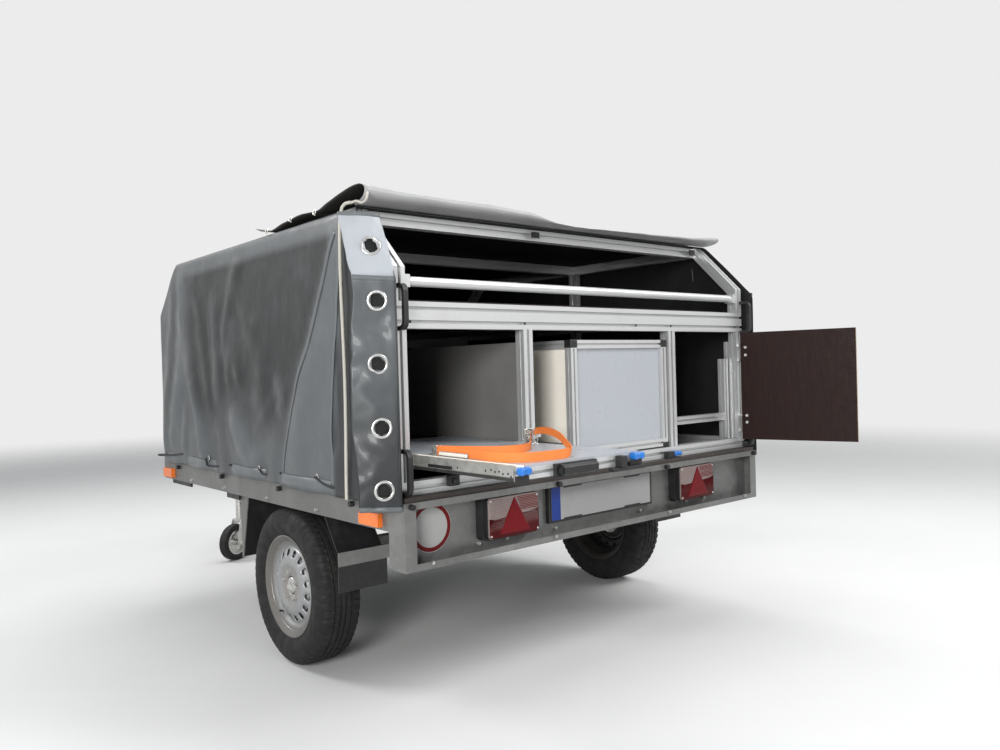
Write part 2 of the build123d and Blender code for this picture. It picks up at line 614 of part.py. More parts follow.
# The fork trails behind its pin; its own plane runs along the heading, sideways and up
HEADING = math.radians(JOCKEY_HEADING)
TRAIL_X = math.cos(HEADING)
TRAIL_Y = math.sin(HEADING)
WHEEL_AT = at(JOCKEY_X + JOCKEY_TRAIL * TRAIL_X, JOCKEY_ALONG + JOCKEY_TRAIL * TRAIL_Y, JOCKEY_WHEEL_RADIUS)
FORK_INSIDE = JOCKEY_WHEEL_WIDTH / 2 + FORK_SIDE_GAP
across = Plane(origin=WHEEL_AT, x_dir=(TRAIL_X, TRAIL_Y, 0), z_dir=(TRAIL_Y, -TRAIL_X, 0))
RISE = FORK_TOP - JOCKEY_WHEEL_RADIUS
UP = 1 if across.y_dir.Z > 0 else -1
with BuildPart() as jockey_fork:
    for low in (-FORK_INSIDE - FORK_THICK, FORK_INSIDE):
        with BuildSketch(across.offset(low)):
            with BuildLine():
                Polyline((-14, 0), (14, 0), (14, UP * 40), (-JOCKEY_TRAIL + 24, UP * RISE),
                         (-JOCKEY_TRAIL - 24, UP * RISE), (-JOCKEY_TRAIL - 24, UP * (RISE - 14)), close=True)
            make_face()
            Circle(14)
        extrude(amount=FORK_THICK)
    with BuildSketch(across.offset(-FORK_INSIDE - FORK_THICK)):
        with BuildLine():
            Polyline((-JOCKEY_TRAIL - 24, UP * RISE), (-JOCKEY_TRAIL + 24, UP * RISE),
                     (-JOCKEY_TRAIL + 24, UP * (RISE - FORK_THICK - 6)),
                     (-JOCKEY_TRAIL - 24, UP * (RISE - FORK_THICK - 6)), close=True)
        make_face()
    extrude(amount=2 * (FORK_INSIDE + FORK_THICK))
    with BuildSketch(across.offset(-FORK_INSIDE - FORK_THICK)):
        Circle(JOCKEY_PIN)
    extrude(amount=2 * (FORK_INSIDE + FORK_THICK))
    with BuildSketch(Plane(origin=at(JOCKEY_X, JOCKEY_ALONG, LEG_LOW - 40))):
        Circle(SWIVEL_PIN + RUNNING)
    extrude(amount=60, mode=Mode.SUBTRACT)
save("jockey_fork", jockey_fork)

with BuildPart() as jockey_rim:
    for radius, half in ((18, JOCKEY_WHEEL_WIDTH / 2 + 3), (62, 4)):
        with BuildSketch(across.offset(-half)) as ring:
            Circle(radius)
        extrude(ring.sketch, amount=2 * half)
    with BuildSketch(across.offset(-19)) as ring:
        Circle(68)
        Circle(60, mode=Mode.SUBTRACT)
    extrude(ring.sketch, amount=38)
    with BuildSketch(across.offset(-40)) as ring:
        Circle(JOCKEY_PIN + RUNNING)
    extrude(ring.sketch, amount=80, mode=Mode.SUBTRACT)
save("jockey_rim", jockey_rim)

with BuildPart() as jockey_tyre:
    with BuildSketch(across.offset(-JOCKEY_WHEEL_WIDTH / 2)) as ring:
        Circle(JOCKEY_WHEEL_RADIUS)
        Circle(68 + SEAT, mode=Mode.SUBTRACT)
    extrude(ring.sketch, amount=JOCKEY_WHEEL_WIDTH)
save("jockey_tyre", jockey_tyre)


# Slotted frame. Each side is one line of mitred bars: post, rake, roof bar, rake, post
RAKE = math.atan2(RAKE_RUN, ROOF_TOP - POST_TOP)
POST_MITRE = PROFILE * math.tan(RAKE / 2)
ROOF_MITRE = PROFILE * math.tan((math.pi / 2 - RAKE) / 2)
outer_line = [
    # y, z
    (FRAME_REAR, DECK_BEAM_TOP), (FRAME_REAR, POST_TOP), (FRAME_REAR + RAKE_RUN, ROOF_TOP),
    (FRAME_FRONT - RAKE_RUN, ROOF_TOP), (FRAME_FRONT, POST_TOP), (FRAME_FRONT, DECK_BEAM_TOP),
]
inner_line = [
    # y, z
    (FRAME_REAR + PROFILE, DECK_BEAM_TOP), (FRAME_REAR + PROFILE, POST_TOP - POST_MITRE),
    (FRAME_REAR + RAKE_RUN + ROOF_MITRE, ROOF_TOP - PROFILE),
    (FRAME_FRONT - RAKE_RUN - ROOF_MITRE, ROOF_TOP - PROFILE),
    (FRAME_FRONT - PROFILE, POST_TOP - POST_MITRE), (FRAME_FRONT - PROFILE, DECK_BEAM_TOP),
]
rear_stub, rear_rake, roof_bar, front_rake, front_stub = pairwise(zip(outer_line, inner_line))


def slice_of(ends, near, far, x, thickness, mode):
    """A slice of one mitred bar, from the share near to the share far of its thickness."""
    lines = [[tuple(a + share * (b - a) for a, b in zip(*end)) for end in ends] for share in (near, far)]
    with BuildSketch(side_plane(x)) as outline:
        with BuildLine():
            Polyline(*lines[0], *reversed(lines[1]), close=True)
        make_face()
    extrude(outline.sketch, amount=thickness, mode=mode)


def mitred(ends, low_x):
    """Adds one bar of a side line between its mitred ends, with an undercut slot in each face."""
    slice_of(ends, 0, 1, low_x, PROFILE, Mode.ADD)
    for width, low, high in ((SLOT_WIDTH, 0, SLOT_DEPTH), (SLOT_INNER, SLOT_LIP, SLOT_DEPTH)):
        side = (PROFILE - width) / 2
        for near, far in ((low, high), (PROFILE - high, PROFILE - low)):
            slice_of(ends, near / PROFILE, far / PROFILE, low_x + side, width, Mode.SUBTRACT)
        for x in (low_x + low, low_x + PROFILE - high):
            slice_of(ends, side / PROFILE, 1 - side / PROFILE, x, high - low, Mode.SUBTRACT)


REAR_BAR_Y = FRAME_REAR + PROFILE / 2
FRONT_BAR_Y = FRAME_FRONT - PROFILE / 2
POST_RUN = DECK_BEAM_BOTTOM - LOWER_BEAM_TOP
LEFT_AND_RIGHT = (-FRAME_HALF, FRAME_HALF - PROFILE)
with BuildPart() as corner_posts:
    for x in (-SIDE_BAR_X, SIDE_BAR_X):
        for y in (REAR_BAR_Y, FRONT_BAR_Y):
            bar("z", (x, y, LOWER_BEAM_TOP), POST_RUN)
    for low_x in LEFT_AND_RIGHT:
        mitred(rear_stub, low_x)
        mitred(front_stub, low_x)
save("corner_posts", corner_posts)

with BuildPart() as raked_bars:
    for low_x in LEFT_AND_RIGHT:
        mitred(rear_rake, low_x)
        mitred(front_rake, low_x)
save("raked_bars", raked_bars)

with BuildPart() as roof_side_bars:
    for low_x in LEFT_AND_RIGHT:
        mitred(roof_bar, low_x)
save("roof_side_bars", roof_side_bars)

INSIDE = SIDE_BAR_X - PROFILE / 2
CABINET_HIGH = RIGHT_POST_X - PROFILE / 2 - SLIDE_WIDTH
CABINET_LOW = CABINET_HIGH - CABINET_WIDTH
RUNNER_BAR_X = CABINET_LOW - SLIDE_WIDTH - PROFILE / 2
LOWER_Z = FLOOR_TOP + PROFILE / 2
DECK_Z = DECK_BEAM_TOP - PROFILE / 2
ROOF_Z = ROOF_TOP - PROFILE / 2
ROOF_BAR_REAR = FRAME_REAR + RAKE_RUN + ROOF_MITRE + PROFILE / 2
SIDE_RUN = MID_Y - PROFILE / 2 - FRAME_REAR - PROFILE
INNER_RUN = FRAME_FRONT - FRAME_REAR - 2 * PROFILE

with BuildPart() as cross_beams:
    for y in (REAR_BAR_Y, FRONT_BAR_Y):
        bar("x", (-FRAME_HALF, y, LOWER_Z), 2 * FRAME_HALF)
        bar("x", (-FRAME_HALF, y, DECK_BEAM_BOTTOM + PROFILE), 2 * FRAME_HALF, cells=2)
    for y in (ROOF_BAR_REAR, MID_Y, BED_LENGTH - ROOF_BAR_REAR):
        bar("x", (-INSIDE, y, ROOF_Z), 2 * INSIDE)
save("cross_beams", cross_beams)

with BuildPart() as inner_posts:
    for x in (-SIDE_BAR_X, SIDE_BAR_X):
        bar("z", (x, MID_Y, FLOOR_TOP), ROOF_TOP - PROFILE - FLOOR_TOP)
    for x in (LEFT_POST_X, RIGHT_POST_X):
        for y in (REAR_BAR_Y, FRONT_BAR_Y):
            bar("z", (x, y, LOWER_BEAM_TOP), POST_RUN)
    side_y = FRAME_REAR + PROFILE + SEAT + SIDE_FRAME_BAR / 2
    side_x = FRAME_HALF - SIDE_FRAME_BAR / 2
    for x, foot, top in (
        (side_x, LOWER_BEAM_TOP, SIDE_FRAME_TOP),
        (side_x - SIDE_FRAME_STEP, FLOOR_TOP, SIDE_FRAME_MID),
    ):
        bar("z", (x, side_y, foot), top - foot, size=SIDE_FRAME_BAR)
    near = RIGHT_POST_X + PANEL_THICK / 2
    far = side_x - SIDE_FRAME_STEP - SIDE_FRAME_BAR / 2 - SEAT
    bar("x", (near, side_y, SIDE_FRAME_LOW), far - near, size=SIDE_FRAME_BAR)
save("inner_posts", inner_posts)

with BuildPart() as long_bars:
    for z in (LOWER_Z, DECK_Z):
        for x in (-SIDE_BAR_X, SIDE_BAR_X):
            bar("y", (x, FRAME_REAR + PROFILE, z), SIDE_RUN)
            bar("y", (x, MID_Y + PROFILE / 2, z), FRAME_FRONT - PROFILE - MID_Y - PROFILE / 2)
        for x in (LEFT_POST_X, RIGHT_POST_X):
            bar("y", (x, FRAME_REAR + PROFILE, z), INNER_RUN)
    bar("y", (RUNNER_BAR_X, FRAME_REAR, LOWER_BEAM_TOP + PROFILE / 2), FRAME_FRONT - FRAME_REAR)
save("long_bars", long_bars)

with BuildPart() as tube_rail:
    with BuildSketch(side_plane(-INSIDE)):
        with Locations((REAR_BAR_Y, TUBE_Z)):
            Circle(TUBE_RADIUS)
    extrude(amount=2 * INSIDE)
    for x in (-INSIDE, INSIDE - TUBE_CLAMP):
        block((x, FRAME_REAR, TUBE_Z - TUBE_RADIUS - 4),
              (x + TUBE_CLAMP, FRAME_REAR + PROFILE, TUBE_Z + TUBE_RADIUS + 4))
save("tube_rail", tube_rail)

with BuildPart() as upper_deck:
    block((-INSIDE, FRAME_REAR + 2 * PROFILE, DECK_BEAM_TOP), (INSIDE, FRAME_FRONT - 2 * PROFILE,
          DECK_BEAM_TOP + DECK_THICK))
save("upper_deck", upper_deck)

# Partitions between the bays
with BuildPart() as partitions:
    for x in (LEFT_POST_X, RIGHT_POST_X):
        block((x - PANEL_THICK / 2, FRAME_REAR + PROFILE, LOWER_BEAM_TOP),
              (x + PANEL_THICK / 2, FRAME_FRONT - PROFILE, PARTITION_TOP))
save("partitions", partitions)

# Canopy: flat panels over the frame, open to the rear, the rear flap thrown forward over the roof
canopy_side = [
    # y, z
    (0, CANOPY_BOTTOM), (0, CANOPY_KNEE), (ROOF_TOP + SEAT + CLOTH - CANOPY_KNEE, ROOF_TOP + SEAT + CLOTH),
    (BED_LENGTH - (ROOF_TOP + SEAT + CLOTH - CANOPY_KNEE), ROOF_TOP + SEAT + CLOTH),
    (BED_LENGTH + SEAT, CANOPY_KNEE), (BED_LENGTH + SEAT, CANOPY_BOTTOM),
]
with BuildPart() as canopy_sides:
    for x in (-CANOPY_X - CLOTH, CANOPY_X):
        plate(canopy_side, x, CLOTH)
save("canopy_sides", canopy_sides)

ROOF_REAR = canopy_side[2][0]
ROOF_FRONT = canopy_side[3][0]
SLOPE = math.atan2(BED_LENGTH + SEAT - ROOF_FRONT, ROOF_TOP + SEAT + CLOTH - CANOPY_KNEE)
ROOF_TURN = CLOTH * math.tan((math.pi / 2 - SLOPE) / 2)
KNEE_TURN = CLOTH * math.tan(SLOPE / 2)
canopy_sheets = {
    "canopy_roof": [
        (ROOF_REAR, ROOF_TOP + SEAT), (ROOF_REAR, ROOF_TOP + SEAT + CLOTH),
        (ROOF_FRONT, ROOF_TOP + SEAT + CLOTH), (ROOF_FRONT - ROOF_TURN, ROOF_TOP + SEAT),
    ],
    "canopy_slope": [
        (ROOF_FRONT - ROOF_TURN, ROOF_TOP + SEAT), (ROOF_FRONT, ROOF_TOP + SEAT + CLOTH),
        (BED_LENGTH + SEAT + CLOTH, CANOPY_KNEE), (BED_LENGTH + SEAT, CANOPY_KNEE - KNEE_TURN),
    ],
    "canopy_front": [
        (BED_LENGTH + SEAT, CANOPY_KNEE - KNEE_TURN), (BED_LENGTH + SEAT + CLOTH, CANOPY_KNEE),
        (BED_LENGTH + SEAT + CLOTH, CANOPY_BOTTOM), (BED_LENGTH + SEAT, CANOPY_BOTTOM),
    ],
}
for name, outline in canopy_sheets.items():
    with BuildPart() as canopy_sheet:
        plate(outline, -CANOPY_X, 2 * CANOPY_X)
    save(name, canopy_sheet)

FLAP_LOW = ROOF_TOP + CLOTH + 2 * SEAT
flap_outline = [
    # y, z
    (ROOF_REAR, FLAP_LOW), (ROOF_REAR - 50, FLAP_LOW + 4), (ROOF_REAR - FLAP_OVERHANG, FLAP_LOW + 20),
    (ROOF_REAR - FLAP_OVERHANG + 8, FLAP_LOW + FLAP_HEIGHT - 7), (ROOF_REAR - 40, FLAP_LOW + FLAP_HEIGHT),
    (ROOF_REAR + 75, FLAP_LOW + 17), (FLAP_FRONT, FLAP_LOW + FLAP_THICK), (FLAP_FRONT, FLAP_LOW),
]
with BuildPart() as canopy_roll:
    plate(flap_outline, -CANOPY_X, 2 * CANOPY_X)
save("canopy_roll", canopy_roll)

LAPEL_BOTTOM = CANOPY_BOTTOM - 8
LAPEL_OUT = 60.0
with BuildPart() as canopy_lapels:
    with BuildSketch(Plane(origin=at(0, 0, LAPEL_BOTTOM))):
        with BuildLine():
            Polyline((-CANOPY_X - CLOTH - SEAT, 0), (-CANOPY_X - CLOTH - SEAT, CLOTH),
                     (-CANOPY_X - LAPEL_WIDTH, LAPEL_OUT + CLOTH), (-CANOPY_X - LAPEL_WIDTH, LAPEL_OUT),
                     close=True)
        make_face()
    extrude(amount=LAPEL_TOP - LAPEL_BOTTOM)
    block((CANOPY_X + CLOTH + SEAT, 0, CANOPY_BOTTOM),
          (CANOPY_X + 2 * CLOTH + SEAT, LAPEL_WIDTH, CANOPY_KNEE))
save("canopy_lapels", canopy_lapels)

# Lamps, number plate, side markers, hooks, chocks and handles
LAMP_HALF_GAP = 480.0
LAMP_WIDTH = 225.0
LAMP_HEIGHT = 140.0
LAMP_Z = 573.0
LENS_THICK = 22.0
LENS_INSET = 12.0
LENS_BORDER = 4.0
LAMP_ROUND = 18.0
PLATE_X = -23.0
PLATE_Z = 577.0
PLATE_WIDTH = 520.0
PLATE_HEIGHT = 110.0
HOLDER_BORDER = 8.0
HOLDER_THICK = 16.0
SIGN_RADIUS = 75.0
SIGN_INSET = 116.0
SIGN_X = -HALF + SIGN_INSET
SIGN_THICK = 1.5
PLATE_SHEET = 2.0
WEB_Y = REAR_DEPTH - SHEET


def rear_plane(x, y, z):
    """A plane that faces the rear, with its origin given on the bed."""
    return Plane(origin=at(x, y, z), x_dir=(1, 0, 0), z_dir=(0, -1, 0))


with BuildPart() as rear_housings:
    for x in (-LAMP_HALF_GAP, LAMP_HALF_GAP):
        with BuildSketch(rear_plane(x, LENS_THICK, LAMP_Z)) as outline:
            RectangleRounded(LAMP_WIDTH, LAMP_HEIGHT, LAMP_ROUND)
        extrude(outline.sketch, amount=LENS_THICK - WEB_Y)
    block((PLATE_X - PLATE_WIDTH / 2 - HOLDER_BORDER, WEB_Y - HOLDER_THICK,
           PLATE_Z - PLATE_HEIGHT / 2 - HOLDER_BORDER),
          (PLATE_X + PLATE_WIDTH / 2 + HOLDER_BORDER, WEB_Y, PLATE_Z + PLATE_HEIGHT / 2 + HOLDER_BORDER))
save("rear_housings", rear_housings)

with BuildPart() as lamp_lenses:
    for x in (-LAMP_HALF_GAP, LAMP_HALF_GAP):
        with BuildSketch(rear_plane(x + LENS_INSET / 2, LENS_THICK, LAMP_Z)) as outline:
            RectangleRounded(LAMP_WIDTH - LENS_INSET, LAMP_HEIGHT - 2 * LENS_BORDER, LAMP_ROUND - LENS_BORDER)
        extrude(outline.sketch, amount=LENS_THICK)
save("lamp_lenses", lamp_lenses)

with BuildPart() as blank_signs:
    with BuildSketch(rear_plane(PLATE_X, WEB_Y - HOLDER_THICK, PLATE_Z)) as outline:
        RectangleRounded(PLATE_WIDTH, PLATE_HEIGHT, HOLDER_BORDER)
    extrude(outline.sketch, amount=PLATE_SHEET)
    with BuildSketch(rear_plane(SIGN_X, WEB_Y, PLATE_Z)) as outline:
        Circle(SIGN_RADIUS)
    extrude(outline.sketch, amount=SIGN_THICK)
save("blank_signs", blank_signs)

MARKER_THICK = 16.0
MARKER_HEIGHT = 40.0
MARKER_WIDTH = 110.0
MARKER_Z = 602.0
MARKER_FROM_END = 118.0
MARKER_FROM_FRONT = 138.0
with BuildPart() as side_markers:
    for x in (-HALF - MARKER_THICK, HALF):
        for y in (MARKER_FROM_END, BED_LENGTH - MARKER_FROM_FRONT):
            block((x, y, MARKER_Z - MARKER_HEIGHT / 2),
                  (x + MARKER_THICK, y + MARKER_WIDTH, MARKER_Z + MARKER_HEIGHT / 2))
save("side_markers", side_markers)

# Hooks: eight-sided knobs along the rails that hold the canopy's elastic cord
HOOK_RADIUS = 9.0
HOOK_SIDES = 8
HOOK_LENGTH = 16.0
HOOK_Z = 634.0
SIDE_HOOKS = [BED_LENGTH * share for share in (0.14, 0.391, 0.65, 0.8986)]
REAR_HOOKS = [BED_WIDTH * share for share in (-0.488, -0.158, 0.161, 0.488)]
hook_planes = [
    Plane(origin=at(side * HALF, y, HOOK_Z), x_dir=(0, 1, 0), z_dir=(side, 0, 0))
    for side in (-1, 1) for y in SIDE_HOOKS
] + [rear_plane(x, 0, RAIL_TOP - REAR_LIP / 2) for x in REAR_HOOKS]
with BuildPart() as tarp_hooks:
    for place in hook_planes:
        with BuildSketch(place) as outline:
            RegularPolygon(HOOK_RADIUS, HOOK_SIDES)
        extrude(outline.sketch, amount=HOOK_LENGTH)
save("tarp_hooks", tarp_hooks)

# Grab handles: bows bolted over the joints of beams and corner posts
HANDLE_INSET = 8.0
HANDLE_X = FRAME_HALF - HANDLE_INSET
HANDLE_BAR = 12.0
HANDLE_WIDE = 16.0
HANDLE_LENGTH = 136.0
HANDLE_REACH = 44.0
HANDLE_BEND = 20.0
HANDLE_LOWS = (FLOOR_TOP + 3, DECK_BEAM_BOTTOM - 7)
with BuildPart() as grab_handles:
    for x in (-HANDLE_X, HANDLE_X):
        for low in HANDLE_LOWS:
            near = low + HANDLE_BAR / 2
            far = low + HANDLE_LENGTH - HANDLE_BAR / 2
            out = FRAME_REAR - HANDLE_REACH
            with BuildSketch(side_plane(x - HANDLE_WIDE / 2)) as bow:
                with BuildLine():
                    FilletPolyline((FRAME_REAR, near), (out, near), (out, far), (FRAME_REAR, far),
                                   radius=HANDLE_BEND)
                trace(line_width=HANDLE_BAR)
            extrude(bow.sketch, amount=HANDLE_WIDE)
save("grab_handles", grab_handles)

# Small black brackets: two under the left rail, one beside the lever on the rear beam
LEVER_WIDE = 58.0
LEVER_THICK = 22.0
LEVER_HIGH = 24.0
BEAM_LEVER_X = 399.0
BEAM_LEVER_Z = 690.0
BRACKET_WIDE = 36.0
with BuildPart() as small_brackets:
    block((-HALF, 1678, 556), (-HALF + 9, 1905, RAIL_BOTTOM))
    block((-HALF, 1160, 553), (-HALF + 9, 1278, RAIL_BOTTOM))
    block((BEAM_LEVER_X - LEVER_WIDE / 2 - BRACKET_WIDE, FRAME_REAR - LEVER_THICK, FLOOR_TOP + 1),
          (BEAM_LEVER_X - LEVER_WIDE / 2, FRAME_REAR, FLOOR_TOP + LEVER_HIGH))
save("small_brackets", small_brackets)

with BuildPart() as beam_lever:
    with BuildSketch(rear_plane(BEAM_LEVER_X, FRAME_REAR, BEAM_LEVER_Z)) as outline:
        RectangleRounded(LEVER_WIDE, LEVER_HIGH, LEVER_HIGH / 3)
    extrude(outline.sketch, amount=LEVER_THICK)
save("beam_lever", beam_lever)

# Drawer slides: a fixed channel beside each drawer and a runner on the drawer, inside it
RUNNER_GAP = 0.5
RUNNER_HEIGHT = SLIDE_HEIGHT - 2 * SLIDE_WALL - 2 * RUNNER_GAP
CHANNEL_REAR = FRAME_REAR + PROFILE


def channel_rail(x, side, z, length):
    """Adds a fixed slide; x is its closed back and side points from there to the drawer."""
    low, high = sorted((x, x + side * SLIDE_WIDTH))
    block((low, CHANNEL_REAR, z - SLIDE_HEIGHT / 2), (high, CHANNEL_REAR + length, z + SLIDE_HEIGHT / 2))
    low, high = sorted((x + side * SLIDE_WALL, x + side * (SLIDE_WIDTH + 1)))
    block((low, CHANNEL_REAR - 1, z - SLIDE_HEIGHT / 2 + SLIDE_WALL),
          (high, CHANNEL_REAR + length + 1, z + SLIDE_HEIGHT / 2 - SLIDE_WALL), mode=Mode.SUBTRACT)


def runner(x, side, z, front, length):
    """Adds a drawer's runner for the fixed slide whose closed back is at x."""
    low, high = sorted((x + side * (SLIDE_WALL + RUNNER_GAP), x + side * SLIDE_WIDTH))
    block((low, front, z - RUNNER_HEIGHT / 2), (high, front + length, z + RUNNER_HEIGHT / 2))


# Left tray, stored pulled out: an open frame of bars round a flat floor
LEFT_BAY_LOW = -INSIDE
LEFT_BAY_HIGH = LEFT_POST_X - PROFILE / 2
TRAY_Z = TRAY_TOP - SLIDE_HEIGHT / 2 + 6
TRAY_LOW = LEFT_BAY_LOW + SLIDE_WIDTH
TRAY_HIGH = LEFT_BAY_HIGH - SLIDE_WIDTH
TRAY_FLOOR = 6.0
with BuildPart() as tray_runners:
    runner(LEFT_BAY_LOW, 1, TRAY_Z, TRAY_FRONT + TRAY_BAR, TRAY_LENGTH - TRAY_BAR)
    runner(LEFT_BAY_HIGH, -1, TRAY_Z, TRAY_FRONT + TRAY_BAR, TRAY_LENGTH - TRAY_BAR)
save("tray_runners", tray_runners)

with BuildPart() as tray_frame:
    bar("x", (TRAY_LOW, TRAY_FRONT + TRAY_BAR / 2, TRAY_TOP - TRAY_BAR / 2), TRAY_HIGH - TRAY_LOW,
        size=TRAY_BAR)
    bar("x", (TRAY_LOW, TRAY_FRONT + TRAY_LENGTH - TRAY_BAR / 2, TRAY_TOP - TRAY_BAR / 2),
        TRAY_HIGH - TRAY_LOW, size=TRAY_BAR)
    for x in (TRAY_LOW + TRAY_BAR / 2, TRAY_HIGH - TRAY_BAR / 2):
        bar("y", (x, TRAY_FRONT + TRAY_BAR, TRAY_TOP - TRAY_BAR / 2), TRAY_LENGTH - 2 * TRAY_BAR,
            size=TRAY_BAR)
save("tray_frame", tray_frame)

with BuildPart() as tray_floor:
    block((TRAY_LOW, TRAY_FRONT, TRAY_TOP), (TRAY_HIGH, TRAY_FRONT + TRAY_LENGTH, TRAY_TOP + TRAY_FLOOR))
save("tray_floor", tray_floor)

# Latch in the middle of the tray's front and a lever at each corner
LEVER_REACH = 30.0
LEVER_Z = TRAY_TOP - 6
LATCH = ((-725.0, -574.0), (746.0, TRAY_TOP + TRAY_FLOOR + 3))
LATCH_THICK = 26.0
LATCH_FOOT = 12.0
tray_corners = ((TRAY_LOW - LEVER_WIDE / 5, LEVER_WIDE * 0.7), (TRAY_HIGH - LEVER_WIDE / 3, LEVER_WIDE * 0.9))
with BuildPart() as tray_fittings:
    (near, far), (low, high) = LATCH
    block((near, TRAY_FRONT - LATCH_FOOT, low), (far, TRAY_FRONT, high))
    with BuildSketch(side_plane(near + LATCH_FOOT)) as section:
        with BuildLine():
            FilletPolyline((TRAY_FRONT, high - 8), (TRAY_FRONT - LATCH_THICK, high - 8),
                           (TRAY_FRONT - LATCH_THICK, low + 8),
                           (TRAY_FRONT, low + 8), radius=10)
        trace(line_width=8)
    extrude(section.sketch, amount=far - near - 2 * LATCH_FOOT)
    for x, width in tray_corners:
        block((x - width / 2, TRAY_FRONT - 8, LEVER_Z - 32),
              (x + width / 2, TRAY_FRONT, LEVER_Z - LEVER_HIGH / 2))
save("tray_fittings", tray_fittings)

with BuildPart() as tray_levers:
    for x, width in tray_corners:
        with BuildSketch(rear_plane(x, TRAY_FRONT, LEVER_Z)) as outline:
            RectangleRounded(width, LEVER_HIGH, LEVER_HIGH / 3)
        extrude(outline.sketch, amount=LEVER_REACH)
save("tray_levers", tray_levers)

# Middle cabinet: a bar frame with panels, on slides beside its foot
CABINET_BOTTOM = LOWER_BEAM_TOP + FREE
CABINET_FRONT = FRAME_REAR + 4
CABINET_BACK = CABINET_FRONT + CABINET_DEPTH
CABINET_SLIDE_Z = CABINET_BOTTOM + CABINET_BAR / 2 + SLIDE_HEIGHT / 2 - 10
with BuildPart() as slide_rails:
    channel_rail(LEFT_BAY_LOW, 1, TRAY_Z, SLIDE_LENGTH)
    channel_rail(LEFT_BAY_HIGH, -1, TRAY_Z, SLIDE_LENGTH)
    channel_rail(CABINET_LOW - SLIDE_WIDTH, 1, CABINET_SLIDE_Z, CABINET_DEPTH)
    channel_rail(CABINET_HIGH + SLIDE_WIDTH, -1, CABINET_SLIDE_Z, CABINET_DEPTH)
save("slide_rails", slide_rails)

with BuildPart() as cabinet_runners:
    runner(CABINET_LOW - SLIDE_WIDTH, 1, CABINET_SLIDE_Z, CHANNEL_REAR, CABINET_DEPTH - PROFILE)
    runner(CABINET_HIGH + SLIDE_WIDTH, -1, CABINET_SLIDE_Z, CHANNEL_REAR, CABINET_DEPTH - PROFILE)
save("cabinet_runners", cabinet_runners)

NEAR_BAR = CABINET_BAR / 2
with BuildPart() as cabinet_uprights:
    for x in (CABINET_LOW + NEAR_BAR, CABINET_HIGH - NEAR_BAR):
        for y in (CABINET_FRONT + NEAR_BAR, CABINET_BACK - NEAR_BAR):
            bar("z", (x, y, CABINET_BOTTOM + CABINET_BAR), CABINET_TOP - CABINET_BOTTOM - 2 * CABINET_BAR,
                size=CABINET_BAR)
            for z in (CABINET_BOTTOM, CABINET_TOP - CABINET_BAR):
                block((x - NEAR_BAR, y - NEAR_BAR, z), (x + NEAR_BAR, y + NEAR_BAR, z + CABINET_BAR))
save("cabinet_uprights", cabinet_uprights)

with BuildPart() as cabinet_bars:
    for z in (CABINET_BOTTOM + NEAR_BAR, CABINET_TOP - NEAR_BAR):
        for y in (CABINET_FRONT + NEAR_BAR, CABINET_BACK - NEAR_BAR):
            bar("x", (CABINET_LOW + CABINET_BAR, y, z), CABINET_WIDTH - 2 * CABINET_BAR, size=CABINET_BAR)
        for x in (CABINET_LOW + NEAR_BAR, CABINET_HIGH - NEAR_BAR):
            bar("y", (x, CABINET_FRONT + CABINET_BAR, z), CABINET_DEPTH - 2 * CABINET_BAR, size=CABINET_BAR)
save("cabinet_bars", cabinet_bars)

PANEL_INSET = 10.0
with BuildPart() as cabinet_panels:
    low_z = CABINET_BOTTOM + CABINET_BAR
    high_z = CABINET_TOP - CABINET_BAR
    for y in (CABINET_FRONT + PANEL_INSET, CABINET_BACK - PANEL_INSET - PANEL_THICK):
        block((CABINET_LOW + CABINET_BAR, y, low_z), (CABINET_HIGH - CABINET_BAR, y + PANEL_THICK, high_z))
    for x in (CABINET_LOW + PANEL_INSET, CABINET_HIGH - PANEL_INSET - PANEL_THICK):
        block((x, CABINET_FRONT + CABINET_BAR, low_z), (x + PANEL_THICK, CABINET_BACK - CABINET_BAR, high_z))
    for z in (CABINET_BOTTOM + PANEL_INSET, CABINET_TOP - PANEL_INSET - PANEL_THICK):
        block((CABINET_LOW + CABINET_BAR, CABINET_FRONT + CABINET_BAR, z),
              (CABINET_HIGH - CABINET_BAR, CABINET_BACK - CABINET_BAR, z + PANEL_THICK))
save("cabinet_panels", cabinet_panels)

# Door of the right bay, stored open; its own plane turns about the hinge's axis
HINGE_Y = FRAME_REAR - SEAT - DOOR_THICK - HINGE_RADIUS
hinge = Location(at(HINGE_X, HINGE_Y, DOOR_BOTTOM), (0, 0, DOOR_OPEN))
door_plane = Plane(hinge)
with BuildPart() as door_panel:
    with BuildSketch(door_plane):
        with Locations((-DOOR_WIDTH / 2, HINGE_RADIUS + DOOR_THICK / 2)):
            Rectangle(DOOR_WIDTH, DOOR_THICK)
    extrude(amount=DOOR_HEIGHT)
save("door_panel", door_panel)

HINGE_LENGTH = 50.0
HINGE_LEAF = 30.0
HINGE_HEIGHTS = (44.0, 340.0)
with BuildPart() as door_hinges:
    for z in HINGE_HEIGHTS:
        with BuildSketch(door_plane.offset(z)):
            with Locations((-HINGE_LEAF / 2, HINGE_RADIUS - 1.5)):
                Rectangle(HINGE_LEAF, 3 - SEAT)
            Circle(HINGE_RADIUS)
            Circle(HINGE_RADIUS / 2 + RUNNING, mode=Mode.SUBTRACT)
        extrude(amount=HINGE_LENGTH)
save("door_hinges", door_hinges)

